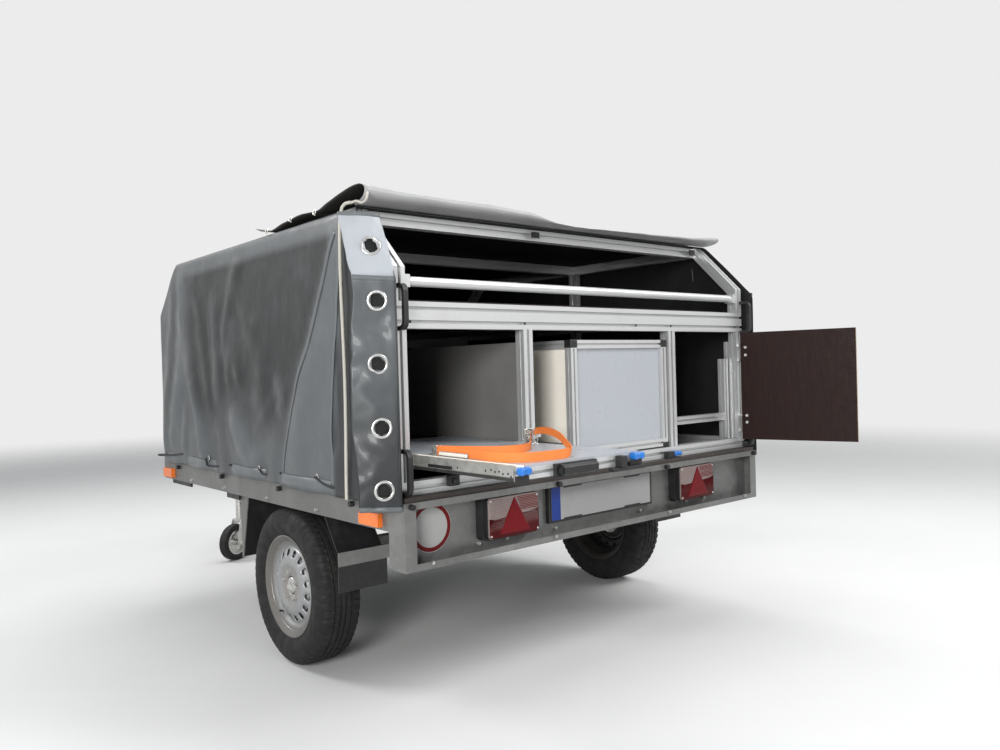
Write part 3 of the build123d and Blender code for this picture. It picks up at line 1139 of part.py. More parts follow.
with BuildPart() as hinge_pins:
    for z in HINGE_HEIGHTS:
        base = Plane(origin=at(HINGE_X, HINGE_Y, DOOR_BOTTOM + z))
        with BuildSketch(base.offset(-12)):
            Circle(HINGE_RADIUS / 2)
        extrude(amount=HINGE_LENGTH + 24)
        for end in (-12, HINGE_LENGTH + SEAT):
            block((HINGE_X, HINGE_Y - HINGE_RADIUS, DOOR_BOTTOM + z + end),
                  (HINGE_X + 12, FRAME_REAR, DOOR_BOTTOM + z + end + 12 - SEAT))
save("hinge_pins", hinge_pins)
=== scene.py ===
"""A single-axle kitchen trailer: cloth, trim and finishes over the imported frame."""

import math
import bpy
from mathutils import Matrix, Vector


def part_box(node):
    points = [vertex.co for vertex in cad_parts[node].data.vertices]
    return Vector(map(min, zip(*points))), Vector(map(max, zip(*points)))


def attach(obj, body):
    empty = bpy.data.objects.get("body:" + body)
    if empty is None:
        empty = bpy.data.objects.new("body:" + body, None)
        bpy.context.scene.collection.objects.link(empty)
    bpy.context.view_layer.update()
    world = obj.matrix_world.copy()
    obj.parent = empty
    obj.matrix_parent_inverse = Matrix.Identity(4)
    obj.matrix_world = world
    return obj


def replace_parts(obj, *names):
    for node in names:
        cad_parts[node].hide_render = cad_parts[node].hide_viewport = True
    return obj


bl_info = {
    "name": "Kitchen trailer dressing",
    "version": (1, 0, 0),
    "blender": (4, 5, 0),
    "location": "View3D > Sidebar > Kitchen trailer",
    "description": "Builds the canopy, straps, tyres, lamps, screws and finishes of a kitchen trailer",
    "category": "Add Mesh",
}

import bmesh
import bpy
from bpy.props import FloatProperty, FloatVectorProperty, IntProperty, PointerProperty
from mathutils import Matrix, Vector, noise

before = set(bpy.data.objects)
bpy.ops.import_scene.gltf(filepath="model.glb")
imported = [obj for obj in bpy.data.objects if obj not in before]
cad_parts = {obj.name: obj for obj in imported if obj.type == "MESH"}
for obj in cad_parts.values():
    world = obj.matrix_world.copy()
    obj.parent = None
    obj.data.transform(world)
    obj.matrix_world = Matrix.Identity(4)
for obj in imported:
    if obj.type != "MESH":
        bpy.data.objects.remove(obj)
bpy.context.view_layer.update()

# Sizes are millimetres, with places on the bed from its middle, its rear face and the ground, unless a
# comment or a unit says otherwise. REAR and GROUND place the bed's rear face and the ground in the frame.
REAR = -3061.0
GROUND = -430.0
HALF = 892.0
TYRE_RADIUS = 281.0
WHEEL_X = 808.0
WHEEL_Y = 788.0
ROOF = 1546.3
KNEE = 1322.0
CLOTH_LOW = 648.0
SIDE_X = 894.3
ROOF_REAR = 226.3
ROOF_FRONT = 1785.0
FRONT_Y = 2013.3
MERGE = 1e-5  # metres
REARWARD = (0, -1, 0)


def at(x, y, z):
    """A point in metres from millimetres on the bed: from its middle, its rear face and the ground."""
    return Vector((x, REAR + y, GROUND + z)) / 1000


def level(z):
    """A height over the ground as the frame has it, in metres."""
    return (z + GROUND) / 1000


def bed_box(node):
    """The two corners of a solid's box, as millimetres on the bed."""
    return [(c.x * 1000, c.y * 1000 - REAR, c.z * 1000 - GROUND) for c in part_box(node)]


def lay(name, points, faces, material, body, slot, smooth=True, indices=None):
    """Makes one object from points on the bed and gives it its finish and its body; slot is not used."""
    mesh = bpy.data.meshes.new(name)
    mesh.from_pydata([at(*p) for p in points], [], faces)
    return settle(name, mesh, material, body, smooth, indices)


def settle(name, mesh, material, body, smooth=True, indices=None):
    """Links a mesh whose place is in its vertices."""
    for one in material if isinstance(material, (list, tuple)) else [material]:
        mesh.materials.append(one)
    for face in mesh.polygons:
        face.use_smooth = smooth
        if indices:
            face.material_index = indices[face.index]
    mesh.update()
    obj = bpy.data.objects.new(name, mesh)
    bpy.context.scene.collection.objects.link(obj)
    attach(obj, body)
    return obj


def outward(obj, merge=0.0):
    """Merges doubles and points a mesh's faces outward."""
    work = bmesh.new()
    work.from_mesh(obj.data)
    if merge:
        bmesh.ops.remove_doubles(work, verts=work.verts, dist=merge)
    bmesh.ops.recalc_face_normals(work, faces=work.faces)
    work.to_mesh(obj.data)
    work.free()
    return obj


def rows_to_faces(rows, columns, start=0, closed=False):
    """Quads of a grid of rows by columns points; closed joins the last column to the first."""
    faces = []
    for i in range(rows - 1):
        for j in range(columns if closed else columns - 1):
            k = (j + 1) % columns
            a, b = start + i * columns, start + (i + 1) * columns
            faces.append((a + j, a + k, b + k, b + j))
    return faces


def smooth_path(points, steps=8):
    """A rounded line through the given points."""
    ends = [points[0], *points, points[-1]]
    line = []
    for a, b, c, d in zip(ends, ends[1:], ends[2:], ends[3:]):
        a, b, c, d = (Vector(p) for p in (a, b, c, d))
        for i in range(steps):
            t = i / steps
            line.append(0.5 * (2 * b + (c - a) * t + (2 * a - 5 * b + 4 * c - d) * t * t
                               + (3 * b - 3 * c + d - a) * t ** 3))
    line.append(Vector(points[-1]))
    return line


def heading(line, i):
    """The direction of a line at its point i."""
    return (line[min(i + 1, len(line) - 1)] - line[max(i - 1, 0)]).normalized()


def skin(rows, columns):
    """Faces of a tube of rows by columns points, with a cap at each end."""
    last = (rows - 1) * columns
    caps = [tuple(reversed(range(columns))), tuple(range(last, last + columns))]
    return rows_to_faces(rows, columns, closed=True) + caps


def tube(line, radius, sides=10):
    """Points and faces of a round cord along a line, closed at both ends."""
    points = []
    up = Vector((0.13, 0.21, 0.97))
    for i, p in enumerate(line):
        ahead = heading(line, i)
        right = ahead.cross(up)
        right = right.normalized() if right.length > 0.05 else Vector((1, 0, 0))
        up = right.cross(ahead).normalized()
        for j in range(sides):
            turn = 2 * math.pi * j / sides
            points.append(p + radius * (math.cos(turn) * right + math.sin(turn) * up))
    return points, skin(len(line), sides)


def band(line, width, thick):
    """Points and faces of a flat strap along a line; width is a vector across it."""
    points = []
    side = width / 2
    for i, p in enumerate(line):
        out = side.cross(heading(line, i)).normalized() * thick / 2
        points += [p - side - out, p + side - out, p + side + out, p - side + out]
    return points, skin(len(line), 4)


def join(parts):
    """One list of points and faces from several."""
    points, faces = [], []
    for some_points, some_faces in parts:
        faces += [tuple(i + len(points) for i in face) for face in some_faces]
        points += some_points
    return points, faces


def box(low, high):
    """Points and faces of a box between two corners."""
    xs, ys, zs = zip(low, high)
    points = [Vector((x, y, z)) for z in zs for y in ys for x in xs]
    return points, [(0, 2, 3, 1), (4, 5, 7, 6), (0, 1, 5, 4), (2, 6, 7, 3), (0, 4, 6, 2), (1, 3, 7, 5)]


def turned(profile, centre, axis, steps):
    """Points and faces of a closed profile of (distance along the axis, radius) turned about the axis."""
    axis = Vector(axis).normalized()
    first = axis.orthogonal().normalized()
    second = axis.cross(first)
    points = []
    for i in range(steps):
        turn = 2 * math.pi * i / steps
        spoke = math.cos(turn) * first + math.sin(turn) * second
        points += [Vector(centre) + axis * along + spoke * radius for along, radius in profile]
    n = len(profile)
    faces = []
    for i in range(steps):
        k = (i + 1) % steps
        for j in range(n):
            m = (j + 1) % n
            faces.append((i * n + j, i * n + m, k * n + m, k * n + j))
    return points, faces


def bevelled(obj, width, segments=2):
    """Rounds an object's edges."""
    edge = obj.modifiers.new("Rounded", "BEVEL")
    edge.width = width / 1000
    edge.segments = segments
    edge.limit_method = "ANGLE"
    return obj


def rounded(obj):
    """Subdivides an object once."""
    rounder = obj.modifiers.new("Rounder", "SUBSURF")
    rounder.levels = rounder.render_levels = 1
    return obj


def walled(obj, thick, offset=0.0):
    """Gives an open shape its thickness in metres; an offset of -1 keeps its outer face."""
    wall = obj.modifiers.new("Wall", "SOLIDIFY")
    wall.thickness, wall.offset = thick, offset
    return wall


def piece(name, parts, finish, body, slot, smooth=True):
    """One object from several shapes on the bed, its faces turned outward."""
    return outward(lay(name, *join(parts), finishes[finish], body, slot, smooth))


def merged_copy(node, name, keeps=None):
    """A solid's mesh with its doubles merged; keeps tells by their middles which faces stay."""
    work = bmesh.new()
    work.from_mesh(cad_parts[node].data)
    bmesh.ops.remove_doubles(work, verts=work.verts, dist=MERGE)
    if keeps:
        lost = [face for face in work.faces if not keeps(face.calc_center_median())]
        bmesh.ops.delete(work, geom=lost, context="FACES")
    bmesh.ops.recalc_face_normals(work, faces=work.faces)
    mesh = bpy.data.meshes.new(name)
    work.to_mesh(mesh)
    work.free()
    return mesh


finishes = {}


def times(colour, factor, more=0.0):
    """A colour made darker or lighter."""
    return tuple(factor * c + more for c in colour)


def add_node(tree, kind, settings=None, **inputs):
    """Adds a node. An input goes by its name or as i with its number, and takes a socket or a value."""
    made = tree.nodes.new(kind)
    for key, value in (settings or {}).items():
        setattr(made, key, value)
    for key, value in inputs.items():
        numbered = key[0] == "i" and key[1:].isdigit()
        socket = made.inputs[int(key[1:])] if numbered else made.inputs[key.replace("_", " ")]
        if isinstance(value, bpy.types.NodeSocket):
            tree.links.new(value, socket)
        else:
            socket.default_value = value
    return made


class Finish:
    """A node material, built in small steps and kept in finishes."""

    def __init__(self, key, name, colour, rough, metal=0.0, coat=0.0, spec=0.5):
        self.material = finishes[key] = bpy.data.materials.new(name)
        self.material.use_nodes = True
        self.tree = self.material.node_tree
        self.shader = self.tree.nodes["Principled BSDF"]
        for label, value in (("Base Color", (*colour, 1)), ("Roughness", rough), ("Metallic", metal),
                             ("Coat Weight", coat), ("Specular IOR Level", spec)):
            self.shader.inputs[label].default_value = value
        self.place = self.tree.nodes.new("ShaderNodeTexCoord").outputs["Object"]
        self.colour = None
        self.height = None
        self.base = colour

    def node(self, kind, settings=None, **inputs):
        """Adds a node to the material."""
        return add_node(self.tree, kind, settings, **inputs)

    def feed(self, source, name):
        """Links a source to one of the shader's inputs."""
        self.tree.links.new(source, self.shader.inputs[name])
        return self

    def scaled(self, scale=(1, 1, 1), turn=(0, 0, 0)):
        """Object coordinates, stretched and turned."""
        return self.node("ShaderNodeMapping", Vector=self.place, Scale=scale, Rotation=turn).outputs[0]

    def cloud(self, scale, detail=3.0, rough=0.55, place=None, low=0.35, high=0.65):
        """A soft noise between 0 and 1."""
        spots = self.node("ShaderNodeTexNoise", Vector=place or self.place, Scale=scale, Detail=detail,
                          Roughness=rough)
        return self.ramp(spots.outputs["Fac"], low, high)

    def cells(self, scale, metric="EUCLIDEAN"):
        """Small cells: sockets for their random colour and the distance from their middles."""
        return self.node("ShaderNodeTexVoronoi", {"distance": metric}, Vector=self.place, Scale=scale).outputs

    def wave(self, scale, bands, distortion=0.0, place=None):
        """Stripes between 0 and 1."""
        return self.node("ShaderNodeTexWave", {"bands_direction": bands}, Vector=place or self.place,
                         Scale=scale, Distortion=distortion).outputs["Fac"]

    def ramp(self, value, low, high):
        """Stretches a value so that low is 0 and high is 1."""
        kind = {"clamp": True, "interpolation_type": "SMOOTHSTEP"}
        made = self.node("ShaderNodeMapRange", kind, Value=value, From_Min=low, From_Max=high)
        return made.outputs["Result"]

    def math(self, operation, a, b=0.0):
        """A sum on one or two values."""
        return self.node("ShaderNodeMath", {"operation": operation}, i0=a, i1=b).outputs[0]

    def tint(self, amount, colour, strength=1.0):
        """Mixes a colour in where amount is high."""
        under = (*self.base, 1) if self.colour is None else self.colour
        factor = self.math("MULTIPLY", amount, strength)
        mix = self.node("ShaderNodeMix", {"data_type": "RGBA"}, i0=factor, i6=under, i7=(*colour, 1))
        self.colour = mix.outputs[2]
        return self.feed(self.colour, "Base Color")

    def bump(self, height, distance, strength=1.0):
        """Adds relief, in metres."""
        made = self.node("ShaderNodeBump", Height=height, Strength=strength, Distance=distance)
        if self.height is not None:
            self.tree.links.new(self.height, made.inputs["Normal"])
        self.height = made.outputs[0]
        return self.feed(self.height, "Normal")

    def vary(self, amount, low, high):
        """Lets the roughness run from low to high."""
        made = self.node("ShaderNodeMapRange", {"clamp": True}, Value=amount, To_Min=low, To_Max=high)
        return self.feed(made.outputs["Result"], "Roughness")

    def parts(self, vector):
        """The x, y and z of a vector as separate sockets."""
        return self.node("ShaderNodeSeparateXYZ", Vector=vector).outputs

    def around(self, centre):
        """Distance in metres from the line along x through a point."""
        _, *across = self.parts(self.place)
        aways = [self.math("SUBTRACT", part, middle) for part, middle in zip(across, centre[1:])]
        return self.math("SQRT", self.math("ADD", *[self.math("MULTIPLY", away, away) for away in aways]))


def make_metals(colours):
    """The finishes of the frame, the chassis and the wheels."""
    zinc = Finish("zinc", "Galvanised sheet", (0.155, 0.157, 0.15), 0.42, 0.4)
    spangle = zinc.cells(55)
    flakes = zinc.ramp(zinc.node("ShaderNodeSeparateColor", Color=spangle["Color"]).outputs[0], 0.1, 0.9)
    zinc.tint(flakes, (0.21, 0.213, 0.21), 0.5).tint(zinc.cloud(2.6, 5), (0.10, 0.098, 0.092), 0.55)
    stain = zinc.cloud(9, 6, low=0.55, high=0.75, place=zinc.scaled((1, 1, 0.25)))
    zinc.tint(stain, (0.085, 0.078, 0.066), 0.4).vary(flakes, 0.36, 0.5)
    zinc.bump(spangle["Distance"], 0.0002, 0.3).bump(zinc.cloud(7, 2), 0.002, 0.25)

    bright = Finish("bright", "Zinc-plated steel", (0.56, 0.56, 0.55), 0.32, 0.85)
    bright.tint(bright.cloud(30, 5), (0.42, 0.40, 0.36), 0.5).vary(bright.cloud(80, 3), 0.25, 0.45)
    bright.bump(bright.cloud(400, 2), 0.0003, 0.3)

    metal = Finish("aluminium", "Anodised aluminium", colours.aluminium, 0.34, 0.55)
    streak = metal.cloud(22, 4, place=metal.scaled((14, 14, 1.0)))
    metal.tint(streak, (0.50, 0.50, 0.495), 0.35)
    metal.tint(metal.cloud(5, 5, low=0.5, high=0.8), (0.42, 0.415, 0.39), 0.35).vary(streak, 0.28, 0.42)
    metal.bump(metal.cloud(260, 2, place=metal.scaled((6, 6, 1))), 0.0002, 0.25)

    slide = Finish("slide", "Slide steel", (0.46, 0.46, 0.44), 0.34, 0.8)
    slide.tint(slide.cloud(12, 6), (0.30, 0.29, 0.26), 0.6).vary(slide.cloud(45, 4), 0.26, 0.5)
    side, _, up = slide.parts(slide.place)
    # Painted shade: the outer face of the slides on the left, below about 765 mm, is made near black.
    foot = slide.math("MULTIPLY", slide.ramp(side, -0.8335, -0.8348), slide.ramp(up, level(767), level(763)))
    slide.tint(foot, (0.02, 0.02, 0.02), 0.9).bump(slide.cloud(300, 2), 0.0003, 0.3)

    paint = Finish("wheel", "Silver wheel paint", (0.31, 0.315, 0.32), 0.36, 0.5)
    for side in (-1, 1):
        away = paint.around(at(side * WHEEL_X, WHEEL_Y, TYRE_RADIUS))
        paint.tint(paint.ramp(away, 0.10, 0.02), (0.22, 0.19, 0.155), 0.3)
        paint.tint(paint.ramp(away, 0.132, 0.165), (0.12, 0.11, 0.098), 0.6)
    paint.tint(paint.cloud(12, 5, low=0.52, high=0.78), (0.15, 0.135, 0.115), 0.3)
    # Painted shade: the inward parts of each wheel, nearer the middle than about 846 mm, are made near black.
    inside = paint.ramp(paint.math("ABSOLUTE", paint.parts(paint.place)[0]), 0.8475, 0.8455)
    paint.tint(inside, (0.030, 0.027, 0.025), 0.9)
    paint.vary(paint.cloud(60, 4), 0.32, 0.55).bump(paint.cloud(500, 2), 0.0002, 0.25)

    grey = Finish("axle", "Axle coat", (0.36, 0.36, 0.34), 0.55, 0.4)
    grey.tint(grey.cloud(14, 6), (0.20, 0.17, 0.14), 0.6).bump(grey.cloud(60, 4), 0.0006, 0.4)

    ring = Finish("ring", "Plated eyelet ring", (0.50, 0.50, 0.50), 0.24, 0.75)
    ring.tint(ring.cloud(60, 5), (0.40, 0.39, 0.36), 0.5).bump(ring.cloud(300, 2), 0.0003, 0.2)


def make_plastics(colours):
    """The finishes of tyres, plastics, lamps, signs and boards."""
    rubber = Finish("rubber", "Tyre rubber", (0.010, 0.010, 0.010), 0.74, spec=0.3)
    rubber.tint(rubber.cloud(14, 6, low=0.45, high=0.75), (0.030, 0.028, 0.026), 0.4)
    rubber.vary(rubber.cloud(30, 4), 0.62, 0.85).bump(rubber.cloud(240, 4), 0.0005, 0.5)

    black = Finish("black", "Black moulded plastic", (0.013, 0.013, 0.014), 0.46, spec=0.35)
    black.tint(black.cloud(18, 5, low=0.5, high=0.8), (0.034, 0.033, 0.031), 0.5)
    black.vary(black.cloud(50, 4), 0.38, 0.56).bump(black.cloud(700, 2), 0.0003, 0.4)

    blue = Finish("blue", "Blue lever plastic", colours.lever, 0.36, coat=0.1)
    blue.tint(blue.cloud(60, 4), (0.01, 0.14, 0.52), 0.5).bump(blue.cloud(300, 2), 0.0003, 0.3)

    amber = Finish("amber", "Amber reflector", (0.85, 0.19, 0.01), 0.22, coat=0.4)
    prism = amber.cells(260, "CHEBYCHEV")["Distance"]
    amber.tint(amber.ramp(prism, 0.1, 0.7), (0.60, 0.10, 0.005), 0.8).bump(prism, 0.001, 0.5)

    red = Finish("red", "Red lamp lens", (0.050, 0.002, 0.003), 0.30, spec=0.12)
    rib = red.wave(60, "Z")
    red.tint(rib, (0.034, 0.0015, 0.002), 0.7).tint(red.cloud(40, 3), (0.08, 0.005, 0.006), 0.3)
    red.bump(rib, 0.001, 0.35)

    reflector = Finish("reflector", "Red reflector", (0.125, 0.005, 0.008), 0.30, spec=0.12)
    prism = reflector.cells(300, "CHEBYCHEV")["Distance"]
    reflector.tint(reflector.ramp(prism, 0.1, 0.7), (0.095, 0.003, 0.005), 0.6).bump(prism, 0.0008, 0.4)

    clear = Finish("clear", "Clear lamp lens", (0.22, 0.18, 0.17), 0.25, spec=0.2)
    rib = clear.wave(48, "Z")
    clear.tint(rib, (0.13, 0.10, 0.095), 0.7).tint(clear.cloud(26, 4), (0.17, 0.115, 0.105), 0.5)
    clear.bump(rib, 0.001, 0.35)

    film = Finish("film", "Film-faced plywood", times(colours.plywood, 0.62), 0.46, spec=0.16)
    grain = film.cloud(26, 6, place=film.scaled((3, 3, 0.35)))
    film.tint(grain, (0.022, 0.008, 0.006), 0.5)
    film.tint(film.cloud(9, 6, low=0.55, high=0.8), (0.034, 0.017, 0.013), 0.3)
    film.vary(film.cloud(30, 5), 0.38, 0.56).bump(grain, 0.0006, 0.25)
    film.bump(film.cells(300, "MANHATTAN")["Distance"], 0.0004, 0.3)

    edge = Finish("edge", "Plywood edge", (0.40, 0.28, 0.17), 0.7)
    layer = edge.wave(70, "DIAGONAL", 3)
    edge.tint(layer, (0.22, 0.13, 0.07), 0.7).tint(edge.cloud(80, 5), (0.10, 0.07, 0.05), 0.5)
    edge.bump(layer, 0.0006, 0.5)

    floor = Finish("floor", "Floor board film", (0.018, 0.013, 0.011), 0.55)
    floor.tint(floor.cloud(16, 6), (0.045, 0.034, 0.028), 0.5).bump(floor.cells(180)["Distance"], 0.0008, 0.4)

    white = Finish("white", "White laminate", (0.36, 0.38, 0.41), 0.34, spec=0.35)
    white.tint(white.cloud(1.6, 4), (0.33, 0.34, 0.355), 0.35)
    white.tint(white.cloud(30, 6, low=0.66, high=0.82), (0.29, 0.285, 0.27), 0.18)
    # Painted light: faces that look along x are made a bright cream, as if lit from the side; the other faces
    # keep the cool grey.
    normal = white.node("ShaderNodeNewGeometry").outputs["True Normal"]
    sides = white.ramp(white.math("ABSOLUTE", white.parts(normal)[0]), 0.6, 0.8)
    white.tint(sides, (0.84, 0.79, 0.70), 1.0)
    white.vary(white.cloud(8, 4), 0.26, 0.36).bump(white.cloud(90, 3), 0.0003, 0.2)

    panel = Finish("panel", "Grey panel", (0.15, 0.147, 0.14), 0.42)
    panel.tint(panel.cloud(3.2, 5), (0.19, 0.186, 0.175), 0.6)
    panel.tint(panel.cloud(30, 6, low=0.6, high=0.8), (0.08, 0.075, 0.07), 0.4)
    panel.vary(panel.cloud(20, 4), 0.34, 0.55).bump(panel.cloud(120, 3), 0.0003, 0.3)

    # Painted shade: a mid grey base stands in for the white plate lying in shade.
    plate = Finish("plate", "Blank number plate", (0.27, 0.27, 0.265), 0.40, spec=0.3)
    across = plate.parts(plate.place)[0]
    plate.tint(plate.cloud(14, 6, low=0.5, high=0.8), (0.20, 0.195, 0.185), 0.4)
    plate.tint(plate.ramp(across, -0.2372, -0.2378), (0.006, 0.028, 0.19), 1.0)
    away = plate.math("ABSOLUTE", plate.math("ADD", across, 0.023))
    plate.tint(plate.ramp(away, 0.2560, 0.2566), (0.03, 0.03, 0.03), 1.0)
    plate.bump(plate.cloud(200, 2), 0.0003, 0.2)

    # Painted shade: a mid grey base stands in for the white sign lying in shade.
    disc = Finish("disc", "Blank round sign", (0.34, 0.34, 0.33), 0.5, spec=0.2)
    disc.tint(disc.cloud(16, 6, low=0.5, high=0.8), (0.25, 0.245, 0.235), 0.4)
    disc.bump(disc.cloud(200, 2), 0.0003, 0.2)


def make_cloths(colours):
    """The finishes of the canopy, the strap and the cords."""
    for key, label, outer, weave in (
        ("canvas", "Coated canvas", colours.canvas, 1.0), ("flap", "Flap lining", (0.060, 0.058, 0.052), 1.0),
        # The hem is a lighter copy of the canvas: painted highlight along the hems and seams.
        ("hem", "Welded hem", times(colours.canvas, 1.22), 0.6),
        # The lapel is a darker copy of the canvas, as painted shade.
        ("lapel", "Lapel canvas", times(colours.canvas, 0.86), 0.7),
        # The roll is a far lighter copy of the canvas: painted highlight on the flap's rolled fold.
        ("roll", "Rolled canvas", (0.60, 0.60, 0.595), 0.7),
    ):
        base = times(outer, 0.55)
        painted_shade_tone = times(base, 0.16, 0.001)
        cloth = Finish(key, label, base, 0.34, coat=0.08, spec=0.28)
        cloth.tint(cloth.cloud(1.7, 4, place=cloth.scaled((1, 1, 0.8))), times(base, 0.74, 0.006), 0.55)
        # Painted shade: the canvas darkens where the side cloth's shade attribute is high.
        if key == "canvas":
            shade = cloth.node("ShaderNodeAttribute", {"attribute_name": "shade"}).outputs["Fac"]
            cloth.tint(shade, painted_shade_tone, 1.0)
        cloth.tint(cloth.cloud(4.5, 5, low=0.5, high=0.8), times(base, 1.22, 0.012), 0.30)
        if key == "lapel":
            # Painted shade darkens the lapel towards its foot, and a painted pale blue reflection of the sky
            # lies on its top above about 1300 mm.
            up = cloth.parts(cloth.place)[2]
            cloth.tint(cloth.ramp(up, level(1150), level(660)), painted_shade_tone, 0.85)
            cloth.tint(cloth.ramp(up, level(1290), level(1325)), (0.40, 0.425, 0.45), 0.85)
        cloth.tint(cloth.cloud(42, 6, low=0.64, high=0.80), (0.10, 0.09, 0.075), 0.30)
        cloth.vary(cloth.cloud(6, 4), *((0.55, 0.72) if key == "flap" else (0.32, 0.50)))
        long = cloth.node("ShaderNodeTexNoise", {"noise_type": "RIDGED_MULTIFRACTAL"},
                          Vector=cloth.scaled((1, 1.5, 0.55)), Scale=3.4, Detail=2.0)
        cloth.bump(cloth.ramp(long.outputs["Fac"], 0.1, 1.6), 0.010, 0.18 * weave)
        cloth.bump(cloth.cloud(9, 3, 0.5, place=cloth.scaled((1, 1.3, 0.7))), 0.004, 0.30)
        for turn in ((0, 0, 0), (math.pi / 2, 0, 0)):
            cloth.bump(cloth.wave(420, "Z", place=cloth.scaled(turn=turn)), 0.0002, 0.25 * weave)

    # The canvas's inside: its dark coating made near black as painted shade of the shaded interior; also used
    # as painted shade on the lapels' backs, behind the wheel vents and in the slide's holes.
    inner = Finish("inner", "Canvas inside", (0.009, 0.0093, 0.0096), 0.7, spec=0.2)
    inner.tint(inner.cloud(3, 5), (0.017, 0.017, 0.0165), 0.6).bump(inner.cloud(17, 5), 0.004, 0.35)

    for key, label, colour, dark in (
        ("orange", "Orange webbing", colours.strap, (0.62, 0.16, 0.03)),
        ("cream", "Cream cord", (0.50, 0.48, 0.43), (0.28, 0.26, 0.22)),
    ):
        web = Finish(key, label, colour, 0.62, spec=0.3)
        rib = web.wave(190, "DIAGONAL", 0.5)
        web.tint(rib, dark, 0.35).tint(web.cloud(35, 5, low=0.55, high=0.8), dark, 0.4).bump(rib, 0.0006, 0.4)

    cord = Finish("cord", "Elastic cord", (0.018, 0.019, 0.021), 0.75, spec=0.3)
    braid = cord.wave(160, "DIAGONAL", 1)
    cord.tint(braid, (0.05, 0.05, 0.055), 0.6).bump(braid, 0.001, 0.5)


FINISH_OF = {
    "zinc": "rear_crossmember side_rails front_rail floor_bearers drawbar_arms guard_stays",
    "bright": "coupling_head coupling_handle jockey_tube jockey_clamp jockey_leg jockey_fork jockey_rim "
              "hub_left hub_right hinge_pins door_hinges",
    "slide": "slide_rails tray_runners cabinet_runners",
    "aluminium": "corner_posts raked_bars roof_side_bars cross_beams inner_posts long_bars tube_rail "
                 "tray_frame cabinet_uprights cabinet_bars",
    "wheel": "rim_left rim_right",
    "axle": "axle_beam axle_arms",
    "rubber": "tyre_left tyre_right jockey_tyre",
    "black": "mudguards rear_housings tarp_hooks grab_handles small_brackets tray_fittings",
    "blue": "tray_levers beam_lever",
    "amber": "side_markers",
    "red": "lamp_lenses",
    "film": "door_panel",
    "floor": "floor_panel upper_deck",
    "white": "tray_floor cabinet_panels",
    "panel": "partitions",
    "plate": "blank_signs",
    "canvas": "canopy_sides canopy_roof canopy_slope canopy_front canopy_lapels canopy_roll",
}


class KitchenColours(bpy.types.PropertyGroup):
    """Colours that a user would change."""
    canvas: FloatVectorProperty(name="Canvas", description="Outside of the canopy cloth",
                                subtype="COLOR", size=3, default=(0.172, 0.186, 0.194))
    aluminium: FloatVectorProperty(name="Aluminium", description="Anodised frame bars",
                                   subtype="COLOR", size=3, default=(0.56, 0.565, 0.565))
    plywood: FloatVectorProperty(name="Plywood film", description="Faces of the door",
                                 subtype="COLOR", size=3, default=(0.022, 0.0085, 0.0070))
    lever: FloatVectorProperty(name="Levers", description="Blue lock levers",
                               subtype="COLOR", size=3, default=(0.010, 0.135, 0.46))
    strap: FloatVectorProperty(name="Strap", description="Webbing on the tray",
                               subtype="COLOR", size=3, default=(0.84, 0.235, 0.055))


class KitchenSizes(bpy.types.PropertyGroup):
    """Sizes that a user would change."""
    cell: FloatProperty(name="Cloth cell", description="Length of one cell of the canopy's mesh",
                        default=0.028, min=0.015, max=0.06, unit="LENGTH")
    cloth: FloatProperty(name="Cloth thickness", description="Thickness of the coated canvas", default=0.0016,
                         min=0.0005, max=0.004, unit="LENGTH")
    cord: FloatProperty(name="Cord thickness", description="Diameter of the elastic cord", default=0.008,
                        min=0.003, max=0.014, unit="LENGTH")
    screw: FloatProperty(name="Screw head", description="Width of the screws' heads", default=0.013,
                         min=0.006, max=0.02, unit="LENGTH")
    tread: IntProperty(name="Tread blocks", description="Blocks round each tyre", default=60, min=30, max=90)


VALANCE_Z = 1490.0
HEM_LINE = ((338, 1488), (534, 1143), (680, 866), (764, 660))
EDGE_LINE = ((320, 1490), (310, 1388), (370, 1006), (396, 679))
FOLDS = (
    # outward, half width, then points as (y, z) along the side
    (-10, 42, ((1800, 1534), (1802, 1378), (1885, 1058), (1990, 743))),
    (9, 60, ((1707, 1440), (1636, 1241), (1621, 1100))),
    (-10, 48, ((1584, 1414), (1494, 1225), (1444, 1010), (1418, 925))),
    (14, 46, ((1597, 1000), (1547, 879), (1466, 725))),
    (-9, 30, ((1050, 1500), (1126, 1436), (1256, 1197), (1208, 1025))),
    (-8, 26, ((1237, 1172), (1143, 1088), (1110, 1040))),
    (-5, 55, ((965, 1206), (902, 1098), (914, 933))),
    (-7, 32, ((1687, 939), (1718, 739))),
    (7, 60, ((1700, 1300), (1736, 1101), (1857, 778))),
    (13, 70, ((1161, 865), (1070, 790), (1002, 700))),
    (9, 34, ((770, 1000), (728, 965), (763, 915))),
    (-6, 34, ((812, 927), (920, 850), (997, 778))),
    (7, 80, ((560, 1010), (620, 760))),
    (-6, 60, ((1330, 860), (1280, 700))),
    (6, 50, ((1340, 1300), (1320, 1120), (1345, 950))),
    (-5, 40, ((1120, 1380), (1040, 1290), (1000, 1180))),
)


def smooth(value, low, high):
    """Runs smoothly from 0 at low to 1 at high."""
    t = min(max((value - low) / (high - low), 0.0), 1.0)
    return t * t * (3 - 2 * t)


def distance(line, y, z):
    """Distance in mm from a point to a line of (y, z) points."""
    best = 1e9
    for (ay, az), (by, bz) in zip(line, line[1:]):
        dy, dz = by - ay, bz - az
        t = min(max(((y - ay) * dy + (z - az) * dz) / (dy * dy + dz * dz), 0.0), 1.0)
        best = min(best, math.hypot(y - ay - t * dy, z - az - t * dz))
    return best


def line_y(line, z):
    """The y of a mostly upright line at height z."""
    for (ay, az), (by, bz) in zip(line, line[1:]):
        if bz <= z <= az:
            return ay + (by - ay) * (az - z) / (az - bz)
    return line[0][0] if z > line[0][1] else line[-1][0]


